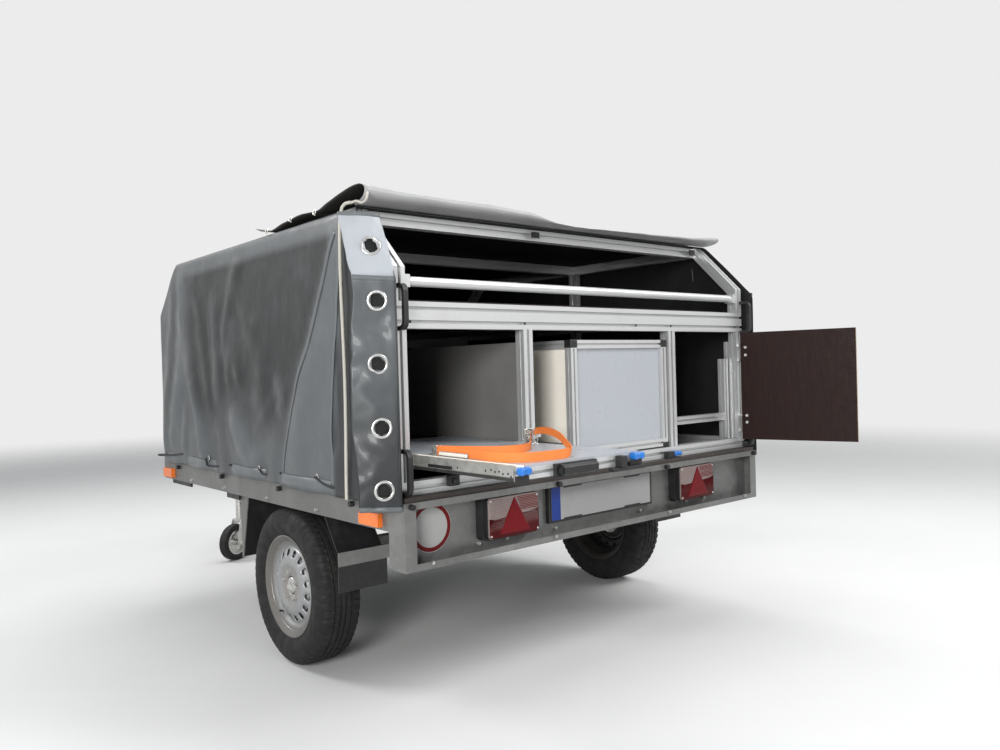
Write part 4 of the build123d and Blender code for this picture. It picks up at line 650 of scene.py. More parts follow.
def main_panel(y, z):
    """1 on the recessed panel between the slanting hem and the band under the roof."""
    past = smooth(y, line_y(HEM_LINE, z) - 2, line_y(HEM_LINE, z) + 26)
    return past * (1 - smooth(z, VALANCE_Z - 26, VALANCE_Z + 2))


def rear_strip(y, z):
    """1 on the recessed strip between the upright edge and the lapel."""
    return 1 - smooth(y, line_y(EDGE_LINE, z) - 30, line_y(EDGE_LINE, z) - 4)


def side_relief(side, y, z):
    """How far the side cloth stands out of its flat plane, in mm."""
    out = 8.0 - 7.0 * main_panel(y, z)
    out -= 16.0 * rear_strip(y, z) * smooth(y, 0, 60) * smooth(ROOF - z, 0, 60)
    for height, width, line in FOLDS:
        out += 1.9 * height * math.exp(-(distance(line, y, z) / width) ** 1.7)
    low = smooth(z, 1150, 760)
    out += 9.0 * low * noise.noise(Vector((y / 120, z / 260, 3.0 + side)))
    out += 5.0 * noise.noise(Vector((y / 240, z / 420, 9.0 * side)))
    out += 2.2 * noise.noise(Vector((y / 62, z / 100, side)))
    out += 4.5 * low * math.sin(y / 78.0) * smooth(z, 900, 660)
    tight = smooth(ROOF - z, 0, 110) * smooth(2011 - y, 0, 50)
    return max(min(out * tight, 36.0), -11.0)


def side_shade(y, z):
    """How much painted shade the side cloth gets, from 0 to 1: most on the recessed main panel and the rear
    strip, less low down where the cloth catches light and towards the front, more in fold valleys and less on
    fold ridges.
    """
    high = 0.30 + 0.70 * smooth(z, 740, 1010)
    shade = main_panel(y, z) * (1 - 0.8 * smooth(y, 1560, 1720)) * high
    shade = max(shade, 0.9 * rear_strip(y, z) * smooth(z, 1548, 1440))
    for height, width, line in FOLDS:
        near = math.exp(-(distance(line, y, z) / (0.7 * width)) ** 2)
        shade -= (0.03 if height < 0 else 0.055) * height * near
    return min(max(shade, 0.0), 1.0)


def roof_relief(x, y):
    """How far the roof cloth sags or rises, in mm."""
    free = smooth(820 - abs(x), 0, 160)
    span = sum(math.sin(math.pi * min(max((y - start) / 690, 0), 1)) for start in (300, 1020))
    return -13 * free * abs(span) + free * 4 * noise.noise(Vector((x / 180, y / 240, 5.0))) + 1.2


def cloth_top(y):
    """Height of the cover's upper edge along its side."""
    fall = max(y - ROOF_FRONT, 0) * (ROOF - KNEE) / (FRONT_Y - ROOF_FRONT)
    return ROOF - max(ROOF_REAR - y, 0) - fall


def canopy_shell(cell):
    """Points, faces and painted shade of the cover: sides, roof, slope and front, welded into one sheet."""
    def spread(low, high):
        """Evenly spaced values from low up to, but without, high."""
        count = max(2, round((high - low) / cell))
        return [low + (high - low) * i / count for i in range(count)]

    ys = spread(0, ROOF_REAR) + spread(ROOF_REAR, ROOF_FRONT) + spread(ROOF_FRONT, FRONT_Y) + [FRONT_Y]
    xs = spread(-SIDE_X, SIDE_X) + [SIDE_X]
    up = len(spread(CLOTH_LOW, ROOF))
    points, places, faces = [], {}, []

    def corner(x, y, z):
        key = (round(x, 1), round(y, 1), round(z, 1))
        if key not in places:
            places[key] = len(points)
            points.append(Vector((x, y, z)))
        return places[key]

    def weave(grid):
        for a, b in zip(grid, grid[1:]):
            faces.extend((a[j], b[j], b[j + 1], a[j + 1]) for j in range(len(a) - 1))

    for x in (-SIDE_X, SIDE_X):
        weave([[corner(x, y, CLOTH_LOW + (cloth_top(y) - CLOTH_LOW) * j / up) for j in range(up + 1)]
               for y in ys])
    line = [(y, cloth_top(y)) for y in ys if y >= ROOF_REAR - 0.1]
    line += [(FRONT_Y, CLOTH_LOW + (KNEE - CLOTH_LOW) * j / up) for j in reversed(range(up))]
    weave([[corner(x, y, z) for x in xs] for y, z in line])
    moved, painted_shades = [], []
    for p in points:
        q = p.copy()
        on_side = abs(p.x) > SIDE_X - 0.1
        painted_shades.append(side_shade(p.y, p.z) if on_side and p.z < cloth_top(p.y) - 1 else 0.0)
        if on_side:
            q.x += math.copysign(side_relief(math.copysign(1, p.x), p.y, p.z), p.x)
            if p.z < CLOTH_LOW + 1:
                q.z += 7 * noise.noise(Vector((p.y / 150, 2.0, p.x))) + 4 * math.sin(p.y / 118)
        if p.z > cloth_top(p.y) - 0.1 and p.y >= ROOF_REAR:
            q.z += roof_relief(p.x, p.y)
        if p.y > FRONT_Y - 0.1:
            inside = smooth(SIDE_X - abs(p.x), 0, 120)
            sway = noise.noise(Vector((p.x / 170, p.z / 420, 1.0)))
            q.y += inside * (5 * sway + 5 + 3 * math.sin(p.x / 83))
        moved.append(q)
    return moved, faces, painted_shades


def face_out(obj, centre):
    """Turns an open sheet's faces away from a point on the bed."""
    outward(obj)
    middle = at(*centre)
    faces = obj.data.polygons
    if sum((face.center - middle).normalized().dot(face.normal) * face.area for face in faces) < 0:
        obj.data.flip_normals()
    return obj


def thicken(obj, thick, inner=False):
    """Gives a sheet its subdivision and its thickness; inner gives its back the second material."""
    wall = walled(rounded(obj), thick, -1)
    if inner:
        wall.material_offset = 1
        wall.material_offset_rim = 0
    return obj


def side_strip(line, side, width, lift, steps=16):
    """A narrow hem that follows the side cloth along a line of (y, z) points."""
    path = smooth_path([(0, y, z) for y, z in line], steps)
    points = []
    for i, p in enumerate(path):
        ahead = heading(path, i)
        across = Vector((0, -ahead.z, ahead.y)) * width / 2
        for q in (p - across, p, p + across):
            out = side_relief(side, q.y, min(q.z, ROOF - 20)) + lift
            points.append(Vector((side * (SIDE_X + out), q.y, q.z)))
    return points, rows_to_faces(len(path), 3)


def eyelet(centre, normal, radius, tube_radius, steps=28):
    """Points and faces of a ring round a hole."""
    turns = [2 * math.pi * k / 8 for k in range(8)]
    profile = [(tube_radius * 0.6 * math.sin(t), radius + tube_radius * math.cos(t)) for t in turns]
    return turned(profile, centre, normal, steps)


class MESH_OT_kitchen_canopy(bpy.types.Operator):
    """Build the canopy cover with its valance, hems and seams"""
    bl_idname = "mesh.kitchen_canopy"
    bl_label = "Canopy cover"

    def execute(self, context):
        sizes = context.scene.kitchen_sizes
        points, faces, painted_shades = canopy_shell(sizes.cell * 1000)
        cloths = [finishes["canvas"], finishes["inner"]]
        cover = lay("canopy_cover", points, faces, cloths, "trailer", "canvas")
        face_out(cover, (0, 1000, 1000))
        # Painted shade for the side cloth, which the canvas finish reads.
        cover.data.attributes.new("shade", "FLOAT", "POINT").data.foreach_set("value", painted_shades)
        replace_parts(cover, "canopy_sides", "canopy_roof", "canopy_slope", "canopy_front")
        thicken(cover, sizes.cloth, inner=True)
        parts = []
        for side in (-1, 1):
            foot = [(y, CLOTH_LOW + 24) for y in range(12, 2000, 60)]
            parts.append(side_strip([(y - 6, z) for y, z in HEM_LINE], side, width=20, lift=1.2))
            parts.append(side_strip(EDGE_LINE, side, width=14, lift=2.2))
            parts.append(side_strip(foot, side, width=44, lift=2.2, steps=3))
        hems = lay("canopy_hems", *join(parts), finishes["hem"], "trailer", "canvas")
        walled(hems, sizes.cloth)
        return {"FINISHED"}


FLAP_EDGE = (
    # y and height of the flap's left edge, from its fold forward
    (156, 1590), (175, 1600), (307, 1592), (390, 1583), (451, 1568), (577, 1575), (690, 1567), (810, 1552),
    (876, 1562), (930, 1580),
)
FLAP_REAR = (
    # x and height of the flap's crest along the rear
    (-892, 1610), (-640, 1600), (-400, 1600), (-230, 1592), (-60, 1558), (0, 1552), (120, 1556), (420, 1565),
    (700, 1574), (892, 1588),
)
FLAP_FOLD = (
    # y and share of the height round the fold at the rear
    (232, 0), (205, 0.05), (176, 0.16), (160, 0.38), (156, 0.62), (163, 0.84), (182, 0.97), (210, 1.0),
)
FLAP_COLUMNS = 64
ROOF_CLOTH = 1552.0  # height of the cover under the flap
FLAP_FOOT = ROOF_CLOTH - 1.5
FLAP_HOLES = ((830, 1558), (640, 1571), (470, 1567))


def table(rows, value):
    """Reads a two-column table between its rows."""
    for (a, low), (b, high) in zip(rows, rows[1:]):
        if a <= value <= b:
            return low + (high - low) * smooth(value, a, b)
    return rows[0][1] if value < rows[0][0] else rows[-1][1]


class MESH_OT_kitchen_flap(bpy.types.Operator):
    """Build the rear flap that is thrown forward over the roof"""
    bl_idname = "mesh.kitchen_flap"
    bl_label = "Rear flap over the roof"

    def execute(self, context):
        points = []
        upper = range(240, 941, 28)
        for j in range(FLAP_COLUMNS + 1):
            x = -SIDE_X + 1 + (2 * SIDE_X - 2) * j / FLAP_COLUMNS
            crest = table(FLAP_REAR, x) + 3 * noise.noise(Vector((x / 60, 1.0, 0)))
            left = smooth(-x, -500, 892)
            for y, share in FLAP_FOLD:
                sway = 7 * noise.noise(Vector((x / 150, share, 4.0)))
                points.append(Vector((x, y + sway * share, FLAP_FOOT + (crest - FLAP_FOOT) * share)))
            for y in upper:
                edge = table(FLAP_EDGE, y) - ROOF_CLOTH
                far = smooth(y, 210, 420)
                lie = 8 + 10 * noise.noise(Vector((x / 170, y / 130, 7.0)))
                rest = ROOF_CLOTH + 1 + max(lie, 2) * (1 - left) + edge * left
                z = (1 - far) * (crest - 12 * far) + far * rest
                points.append(Vector((x, y, max(z, ROOF_CLOTH + 0.5))))
        rows = len(FLAP_FOLD) + len(upper)
        faces = rows_to_faces(FLAP_COLUMNS + 1, rows)
        # The first six rows of faces, round the fold, take the roll finish, a painted highlight; the rest
        # take the flap finish.
        outer = [0 if i % (rows - 1) < 6 else 1 for i in range(len(faces))]
        flap = lay("rear_flap", points, faces, [finishes["roll"], finishes["flap"]], "trailer", "canvas",
                   indices=outer)
        face_out(flap, (0, 500, 1500))
        thicken(flap, context.scene.kitchen_sizes.cloth)
        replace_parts(flap, "canopy_roll")
        rings, tails = [], []
        for y, z in FLAP_HOLES:
            rings.append(eyelet((-SIDE_X - 1.5, y, z), (1, 0.1, -0.3), radius=8, tube_radius=2.4, steps=20))
            tail = [(-SIDE_X - 3, y, z), (-SIDE_X - 8, y - 4, z - 4), (-SIDE_X - 4, y - 10, z - 13)]
            tails.append(tube(smooth_path(tail, 5), radius=2.0))
        small = lay("flap_eyelets", *join(rings), finishes["ring"], "trailer", "sign")
        ends = lay("flap_ties", *join(tails), finishes["cream"], "trailer", "canvas")
        return {"FINISHED"}


LAPEL_FOOT = 640.0
LAPEL_HOLES = (1397.0, 1239.0, 1060.0, 879.0, 702.0)
HOLE_RADIUS = 20.0
HOLE_ACROSS = 0.44  # share of the lapel's width
# Rows, columns and thickness of the dark sheet behind each lapel: painted shade seen through the eyelet
# holes.
SHADE_SHEET_ROWS = 49
SHADE_SHEET_COLUMNS = 9
SHADE_SHEET_THICK = 0.0012  # metres
LAPEL_THICK = 0.002  # metres
LAPEL_RING = (
    # distance along the ring's axis, radius
    (2.2, 21.5), (4.4, 22.6), (5.0, 25), (4.2, 28), (1.6, 30), (-1.6, 30), (-3.6, 28), (-3.6, 23), (-2, 21.5),
)


def lapel_point(side, across, z):
    """A point of the lapel: across runs from the cover's corner, 0, to its free edge, 1."""
    wave = 15 * noise.noise(Vector((across * 1.3, z / 105, 5.0 * side)))
    wave += 5 * noise.noise(Vector((across * 4, z / 38, side)))
    for hole in LAPEL_HOLES[1:]:
        wave += 8 * math.exp(-((z - hole + 84 - 60 * (across - 0.5)) / 24) ** 2) * math.sin(math.pi * across)
        wave -= 6 * math.exp(-((z - hole - 62 + 40 * across) / 20) ** 2) * across
    wave *= smooth(across, 0, 0.3)
    bulge = math.sin(math.pi * across)
    if side > 0:
        return Vector((SIDE_X + 9 + 5 * bulge + 0.3 * wave, 2 + 116 * across, z))
    back = max(z - 1312, 0) * 0.42
    x = -SIDE_X - 1.5 - 116 * across * (1 - 0.05 * math.sin(z / 90)) + 0.10 * max(z - 1330, 0) * across
    y = 2 + 60 * across + back - 14 * bulge * (0.6 + 0.4 * math.sin(z / 110)) + wave
    return Vector((x, y, z + 6 * across))


def lapel_sheet(name, side, top, rows=96, columns=14):
    """The mesh of a lapel, open where its large eyelets are."""
    work = bmesh.new()
    grid = []
    for i in range(rows + 1):
        z = LAPEL_FOOT + (top - LAPEL_FOOT) * i / rows
        grid.append([work.verts.new(at(*lapel_point(side, j / columns, z))) for j in range(columns + 1)])
    for i in range(rows):
        z = LAPEL_FOOT + (top - LAPEL_FOOT) * (i + 0.5) / rows
        for j in range(columns):
            offset = ((j + 0.5) / columns - HOLE_ACROSS) * 130
            if min(math.hypot(offset, z - hole) for hole in LAPEL_HOLES) > HOLE_RADIUS:
                work.faces.new((grid[i][j], grid[i][j + 1], grid[i + 1][j + 1], grid[i + 1][j]))
    bmesh.ops.delete(work, geom=[v for v in work.verts if not v.link_faces], context="VERTS")
    mesh = bpy.data.meshes.new(name)
    work.to_mesh(mesh)
    work.free()
    return mesh


def lapel_rings(side, top):
    """The large eyelets of a lapel that lie below its top."""
    rings = []
    for z in LAPEL_HOLES:
        if z > top - 30:
            continue
        along = lapel_point(side, HOLE_ACROSS + 0.16, z) - lapel_point(side, HOLE_ACROSS - 0.16, z)
        up = lapel_point(side, HOLE_ACROSS, z + 20) - lapel_point(side, HOLE_ACROSS, z - 20)
        rings.append(turned(LAPEL_RING, lapel_point(side, HOLE_ACROSS, z), -side * along.cross(up), 40))
    return rings


class MESH_OT_kitchen_lapels(bpy.types.Operator):
    """Build the lapels beside the rear opening with their large eyelets"""
    bl_idname = "mesh.kitchen_lapels"
    bl_label = "Lapels and eyelets"

    def execute(self, context):
        for side, name, top in ((-1, "lapel_left", 1500), (1, "lapel_right", 1330)):
            mesh = lapel_sheet(name, side, top)
            lapel = settle(name, mesh, [finishes["lapel"], finishes["inner"]], "trailer")
            face_out(lapel, (0, 400, 1000) if side < 0 else (0, 60, 1000))
            thicken(lapel, LAPEL_THICK, inner=True)
            ring = piece(name + "_eyelets", lapel_rings(side, top), "ring", "trailer", "sign")
            proud = Vector((0, -1.4, 0)) if side < 0 else Vector((1.4, 0, 0))
            seam = []
            for z in (1302, LAPEL_FOOT + 8, top - 8):
                line = [lapel_point(side, k / 20, z) + proud for k in range(21)]
                seam.append(band(line, Vector((0, 0, 14)), thick=1.2))
            hem = lay(name + "_seams", *join(seam), finishes["hem"], "trailer", "canvas")
            # A dark sheet just behind the lapel: painted shade that shows through its eyelet holes.
            away = Vector((2.5, 6, 0)) if side < 0 else Vector((-6, 0, 0))
            lining = []
            for i in range(SHADE_SHEET_ROWS):
                z = LAPEL_FOOT + 10 + (top - LAPEL_FOOT - 25) * i / (SHADE_SHEET_ROWS - 1)
                for j in range(SHADE_SHEET_COLUMNS):
                    lining.append(lapel_point(side, 0.04 + 0.90 * j / (SHADE_SHEET_COLUMNS - 1), z) + away)
            faces = rows_to_faces(SHADE_SHEET_ROWS, SHADE_SHEET_COLUMNS)
            back = lay(name + "_shade_sheet", lining, faces, finishes["inner"], "trailer", "canvas")
            walled(back, SHADE_SHEET_THICK)
            if side < 0:
                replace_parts(lapel, "canopy_lapels")
        return {"FINISHED"}


ELASTIC_RUNS = (
    # the elastic cord along each side, as (y, z)
    ((1437, 700), (1441, 684), (1432, 668), (1300, 676), (1204, 690)),
    ((931, 697), (921, 684), (900, 676), (820, 684), (755, 693)),
    ((499, 700), (480, 692), (430, 680), (353, 672), (280, 676), (150, 690)),
    ((353, 668), (300, 664), (211, 662), (120, 664)),
)
ELASTIC_FRONT = (
    # the elastic cord along the front, as (x, z)
    (-838, 690), (-700, 676), (-500, 668), (-300, 684), (-100, 668), (100, 668), (300, 684), (500, 668),
    (700, 676), (838, 690),
)
SIDE_EYELETS = ((1430, 700), (938, 693), (496, 698), (1747, 699))
FRONT_EYELETS = (-838, -300, 300, 838)
FOOT_EYELET = {"radius": 9, "tube_radius": 3, "steps": 20}
PALE_DROP = ((268, 1546), (284, 1495), (284, 1369), (280, 1197), (282, 943), (282, 783), (286, 648))
PALE_LOOP = (
    (-890, 150, 1574), (-897, 140, 1564), (-899, 146, 1550), (-898, 170, 1546), (-899, 198, 1556),
    (-898, 231, 1556),
)


def side_surface(side, y, z, lift=0.0):
    """A point on the outside of the side cloth."""
    return Vector((side * (SIDE_X + side_relief(side, y, min(z, cloth_top(y))) + lift), y, z))


class MESH_OT_kitchen_cords(bpy.types.Operator):
    """Build the elastic cord round the cover's foot, its eyelets and the pale cord at the rear edge"""
    bl_idname = "mesh.kitchen_cords"
    bl_label = "Elastic cord and pale cord"

    def execute(self, context):
        radius = context.scene.kitchen_sizes.cord * 500
        cords, rings = [], []
        for side in (-1, 1):
            for run in ELASTIC_RUNS:
                line = smooth_path([(y, z, 0) for y, z in run], 12)
                line = [side_surface(side, p.x, p.y, radius + 2.5) for p in line]
                cords.append(tube(line, radius, sides=8))
            for y, z in SIDE_EYELETS:
                rings.append(eyelet(side_surface(side, y, z, 1.0), (side, 0, 0), **FOOT_EYELET))
            out = side * (SIDE_X + 12)
            corner = [side_surface(side, 1747, 699, radius), side_surface(side, 1850, 688, radius + 3),
                      (out, 1976, 682), (out, 2050, 676), (side * 880, 2078, 670), (side * 850, 2060, 672),
                      (side * 838, FRONT_Y + 12, 690)]
            cords.append(tube(smooth_path(corner, 9), radius, sides=8))
        across = [(x, FRONT_Y + 13, z) for x, z in ELASTIC_FRONT]
        cords.append(tube(smooth_path(across, 12), radius, sides=8))
        for x in FRONT_EYELETS:
            rings.append(eyelet((x, FRONT_Y + 10, 688), (0, 1, 0), **FOOT_EYELET))
        piece("elastic_cord", cords, "cord", "trailer", "canvas")
        piece("foot_eyelets", rings, "ring", "trailer", "sign")
        drop = smooth_path([(y, z, 0) for y, z in PALE_DROP], 14)
        drop = [Vector((-SIDE_X - 17 - 2 * math.sin(p.y / 90), p.x, p.y)) for p in drop]
        line = smooth_path([(-SIDE_X - 4, 231, 1558), (-SIDE_X - 10, 256, 1557), drop[0]], 6) + drop[1:]
        parts = [tube(line, radius=5.2), tube(smooth_path(PALE_LOOP, 7), radius=4.2, sides=8)]
        piece("pale_cord", parts, "cream", "trailer", "canvas")
        return {"FINISHED"}


TRAY_TOP = 798.0
STRAP_THICK = 2.0
STRAP_ROUTES = (
    # width as a vector, then points as (x, y, height over the tray)
    ((0, 0, 25), ((-806, -44, 14), (-811, -80, 13), (-812, -190, 13), (-816, -246, 13), (-822, -300, 13),
                  (-812, -360, 13), (-782, -398, 13), (-720, -410, 13), (-660, -412, 13), (-634, -408, 14))),
    ((9, 4, 20), ((-640, -410, 14), (-618, -400, 15), (-600, -378, 22), (-572, -330, 34), (-538, -276, 44),
                  (-500, -200, 51), (-470, -130, 50), (-452, -78, 42), (-448, -60, 34))),
    ((0, 0, 25), ((-804, -46, 15), (-776, -92, 13), (-738, -158, 13), (-700, -206, 13), (-650, -222, 13),
                  (-580, -190, 12), (-500, -112, 13), (-462, -70, 20), (-450, -58, 32))),
    ((9, 14, 8), ((-790, -70, 11), (-740, -150, 8), (-700, -190, 5), (-640, -200, 4), (-570, -150, 5),
                  (-540, -110, 3))),
)
SLEEVE_ROUTE = ((-812, -70), (-814, -100), (-815, -150), (-817, -206))
SLEEVE_RING = (
    # outward and upward
    (4, -12), (5, -7), (4, -1), (0, 0.5), (-2, -1), (-3, -7), (-2, -12), (0, -13),
)
STRAP_PLATES = (
    # low and high corners, with heights over the tray: the fitting at the slide, then the ratchet
    ((-820, -60, 0), (-792, -28, 5)), ((-814, -56, 5), (-810, -32, 28)), ((-802, -56, 5), (-798, -32, 28)),
    ((-462, -74, 0), (-432, -34, 5)), ((-460, -62, 5), (-434, -58, 24)), ((-460, -48, 5), (-434, -44, 24)),
    ((-466, -84, 24), (-430, -79, 50)), ((-466, -44, 24), (-430, -39, 50)),
)
STRAP_RODS = (
    # middle, direction, half length, radius
    ((-806, -44, 16), (1, 0, 0), 9, 4.5), ((-447, -53, 16), (0, 1, 0), 11, 4.5),
    ((-448, -62, 34), (0, 1, 0), 25, 6), ((-448, -62, 46), (0, 1, 0), 25, 4),
)


def on_tray(x, y, z):
    """A point by its height over the tray."""
    return Vector((x, y, TRAY_TOP + z))


def sleeve_shape():
    """Points and faces of the soft sleeve round the strap."""
    line = smooth_path([on_tray(x, y, 13) for x, y in SLEEVE_ROUTE], 6)
    points = []
    for i, p in enumerate(line):
        ahead = heading(line, i)
        side = Vector((ahead.y, -ahead.x, 0))
        swell = 1 + 0.06 * math.sin(i * 1.1)
        points += [p + side * out * swell + Vector((0, 0, up * min(swell, 0.97))) for out, up in SLEEVE_RING]
    return points, skin(len(line), len(SLEEVE_RING))


class MESH_OT_kitchen_strap(bpy.types.Operator):
    """Build the orange strap on the tray with its sleeve, ratchet and end fittings"""
    bl_idname = "mesh.kitchen_strap"
    bl_label = "Tray strap"

    def execute(self, context):
        parts = []
        for width, route in STRAP_ROUTES:
            parts.append(band(smooth_path([on_tray(*p) for p in route], 9), Vector(width), STRAP_THICK))
        piece("tray_strap", parts, "orange", "tray", "canvas", smooth=False)
        rounded(piece("strap_sleeve", [sleeve_shape()], "white", "tray", "white_panel"))
        parts = [box(on_tray(*low), on_tray(*high)) for low, high in STRAP_PLATES]
        parts.append(eyelet(on_tray(-447, -76, 14), (0, 1, 0.3), radius=9, tube_radius=2.6, steps=22))
        for middle, way, half, radius in STRAP_RODS:
            rod = [(-half, 0.1), (-half, radius), (half, radius), (half, 0.1)]
            parts.append(turned(rod, on_tray(*middle), way, steps=14))
        bevelled(piece("strap_fittings", parts, "bright", "tray", "steel", smooth=False), width=0.8)
        return {"FINISHED"}


TYRE_LINE = (
    # distance along the axle, radius
    (-54, 168), (-60, 172), (-66, 179), (-79, 205), (-82.2, 222), (-81, 240), (-76, 258), (-70, 268),
    (-63, 275), (-56, 278.6), (-46, 280.0), (-40, 280.4), (-36, 280.5), (-33.5, 274.8), (-30.5, 274.8),
    (-28, 280.6), (-20, 280.8), (-13.5, 280.8), (-11, 274.8), (-8, 274.8), (-5.5, 280.9), (0, 280.9),
)
BLOCK_STEPS = 6
VALVE = ((0, 0.1), (0, 4.6), (9, 4.6), (11, 3.4), (26, 3.4), (27, 4.2), (34, 4.2), (35, 0.1))
VALVE_TURN = -0.9
VALVE_RADIUS = 150.0
VALVE_OUT = 30.0
SHARP = math.radians(38)


def tyre_mesh(side, blocks):
    """A road tyre: bead, ribbed sidewalls, shoulder blocks with cuts between them and a grooved tread."""
    centre = Vector((side * WHEEL_X, WHEEL_Y, TYRE_RADIUS))
    profile = [Vector(p) for p in TYRE_LINE] + [Vector((-a, r)) for a, r in reversed(TYRE_LINE[:-1])]
    steps = blocks * BLOCK_STEPS
    points = []
    for i in range(steps):
        turn = 2 * math.pi * i / steps
        spoke = Vector((0, math.cos(turn), math.sin(turn)))
        for along, radius in profile:
            cut = 0.0
            # the gaps between the shoulder blocks, the slits of the tread's ribs, the sidewall's raised marks
            if abs(along) > 38 and radius > 255 and i % BLOCK_STEPS in (2, 3):
                cut = 4.2 if radius > 266 else 2.0
            if 12 < abs(along) < 30 and radius > 277 and (i + (3 if along > 0 else 0)) % BLOCK_STEPS == 0:
                cut = 2.6
            if (i // 2) % 2 and 214 < radius < 226:
                cut = -0.6
            points.append(centre + Vector((along, 0, 0)) + spoke * (radius - cut))
    n = len(profile)
    faces = []
    for i in range(steps):
        a, b = i * n, ((i + 1) % steps) * n
        faces += [(a + j, b + j, b + (j + 1) % n, a + (j + 1) % n) for j in range(n)]
    return points, faces


class MESH_OT_kitchen_tyres(bpy.types.Operator):
    """Build the road tyres with their tread and their valves"""
    bl_idname = "mesh.kitchen_tyres"
    bl_label = "Tyres"

    def execute(self, context):
        for side, name in ((-1, "left"), (1, "right")):
            shape = tyre_mesh(side, context.scene.kitchen_sizes.tread)
            tyre = piece(f"road_tyre_{name}", [shape], "rubber", f"wheel_{name}", "tyre")
            tyre.data.set_sharp_from_angle(angle=SHARP)
            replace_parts(tyre, f"tyre_{name}")
            stem = Vector((0, math.cos(VALVE_TURN), math.sin(VALVE_TURN)))
            foot = Vector((side * (WHEEL_X + VALVE_OUT), WHEEL_Y, TYRE_RADIUS)) + stem * VALVE_RADIUS
            valve = turned(VALVE, foot, Vector((side, 0, 0)) * 0.9 - stem * 0.35, steps=14)
            piece(f"valve_{name}", [valve], "black", f"wheel_{name}", "black_plastic")
        return {"FINISHED"}


def rounded_outline(width, height, radius, steps=5):
    """Points round a rounded rectangle about its middle, as (x, z)."""
    points = []
    for cx, cz, start in ((1, 1, 0), (-1, 1, 90), (-1, -1, 180), (1, -1, 270)):
        x, z = cx * (width / 2 - radius), cz * (height / 2 - radius)
        for k in range(steps + 1):
            turn = math.radians(start + 90 * k / steps)
            points.append((x + radius * math.cos(turn), z + radius * math.sin(turn)))
    return points


SLAB_EASE = 1.5


def slab(outline, centre, back, front):
    """A plate with a rounded outline between two y faces, its front edge eased."""
    cx, cz = centre
    eased = front + (SLAB_EASE if front < back else -SLAB_EASE)
    points = []
    for y, shrink in ((back, 0), (eased, 0), (front, SLAB_EASE), (front, SLAB_EASE + 12)):
        share = 1 - shrink / 60
        points += [Vector((cx + x * share, y, cz + z * share)) for x, z in outline]
    return points, skin(4, len(outline))


LENS_SCREW = ((-2, 0.1), (-2, 3.6), (1.2, 3.6), (2.0, 2.4), (1.4, 0.1))
LENS_RIBS = 9
PRISM = (
    # faces of a triangle with its front drawn in
    (0, 1, 4, 3), (1, 2, 5, 4), (2, 0, 3, 5), (3, 4, 7, 6), (4, 5, 8, 7), (5, 3, 6, 8), (6, 7, 8), (2, 1, 0),
)


def lamp_shapes(x0, x1, z0, z1, back, front):
    """The parts of one lamp between its bounds on the bed, by name."""
    width, height, cx, cz = x1 - x0, z1 - z0, (x0 + x1) / 2, (z0 + z1) / 2
    lower = [(x0 + 3, z0 + 16), (x0 + 6, z0 + 6), (x0 + 18, z0 + 3), (x1 - 18, z0 + 3), (x1 - 6, z0 + 6),
             (x1 - 3, z0 + 16), (x1 - 3, z0 + 0.60 * height), (x1 - 20, z0 + 0.56 * height),
             (x0 + 20, z0 + 0.46 * height), (x0 + 3, z0 + 0.50 * height)]
    red = [Vector((x, y, z)) for y in (back, front + 1.0) for x, z in lower]
    red += [Vector((cx + (x - cx) * 0.96, front + 0.2, cz + (z - cz) * 0.96)) for x, z in lower]
    top, foot = z1 - 7, z0 + 14
    half_up = (top + foot) / 2
    corners = [(cx, top), (x0 + 0.20 * width, foot), (x1 - 0.20 * width, foot)]
    prism = [Vector((x, y, z)) for y in (back, front) for x, z in corners]
    prism += [Vector((x * 0.86 + cx * 0.14, front - 1.4, z * 0.86 + half_up * 0.14)) for x, z in corners]
    ribs = []
    for k in range(LENS_RIBS):
        z = z1 - 8 - k * 5.2
        ribs.append(box((cx + 12 + k * 2.0, front + 1.4, z - 1.1), (x1 - 5, front + 2.4, z + 1.1)))
    places = ((x0 + 9, z0 + 12), (x1 - 9, z0 + 12), (x0 + 9, z1 - 11), (x1 - 9, z1 - 11))
    return {
        "red": [(red, skin(3, len(lower)))],
        "clear": [slab(rounded_outline(width - 4, height - 4, 12), (cx, cz), back, front + 2.2)],
        "triangles": [(prism, PRISM)],
        "ribs": ribs,
        "seats": [slab(rounded_outline(width, height, 14), (cx, cz), back, front + 8)],
        "screws": [turned(LENS_SCREW, (x, front + 1.4, z), REARWARD, steps=16) for x, z in places],
    }


class MESH_OT_kitchen_lamps(bpy.types.Operator):
    """Build the rear lamp lenses with their red and clear parts, triangles and screws"""
    bl_idname = "mesh.kitchen_lamps"
    bl_label = "Rear lamps"

    def execute(self, context):
        (_, front, z0), (_, back, z1) = bed_box("lamp_lenses")
        xs = [v.co.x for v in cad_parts["lamp_lenses"].data.vertices]
        middle = (min(xs) + max(xs)) / 2
        lamps = []
        for part in (-1, 1):
            side = [x * 1000 for x in xs if (x - middle) * part > 0]
            lamps.append(lamp_shapes(min(side), max(side), z0, z1, back, front))
        for name, finish, slot, smooth_faces in (
            ("red", "red", "lens", True), ("clear", "clear", "lens", True),
            ("triangles", "reflector", "lens", False), ("ribs", "reflector", "lens", False),
            ("seats", "black", "black_plastic", False), ("screws", "bright", "steel", True),
        ):
            parts = [shape for lamp in lamps for shape in lamp[name]]
            made = piece("lamp_" + name, parts, finish, "trailer", slot, smooth_faces)
            if name == "red":
                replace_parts(made, "lamp_lenses")
        return {"FINISHED"}


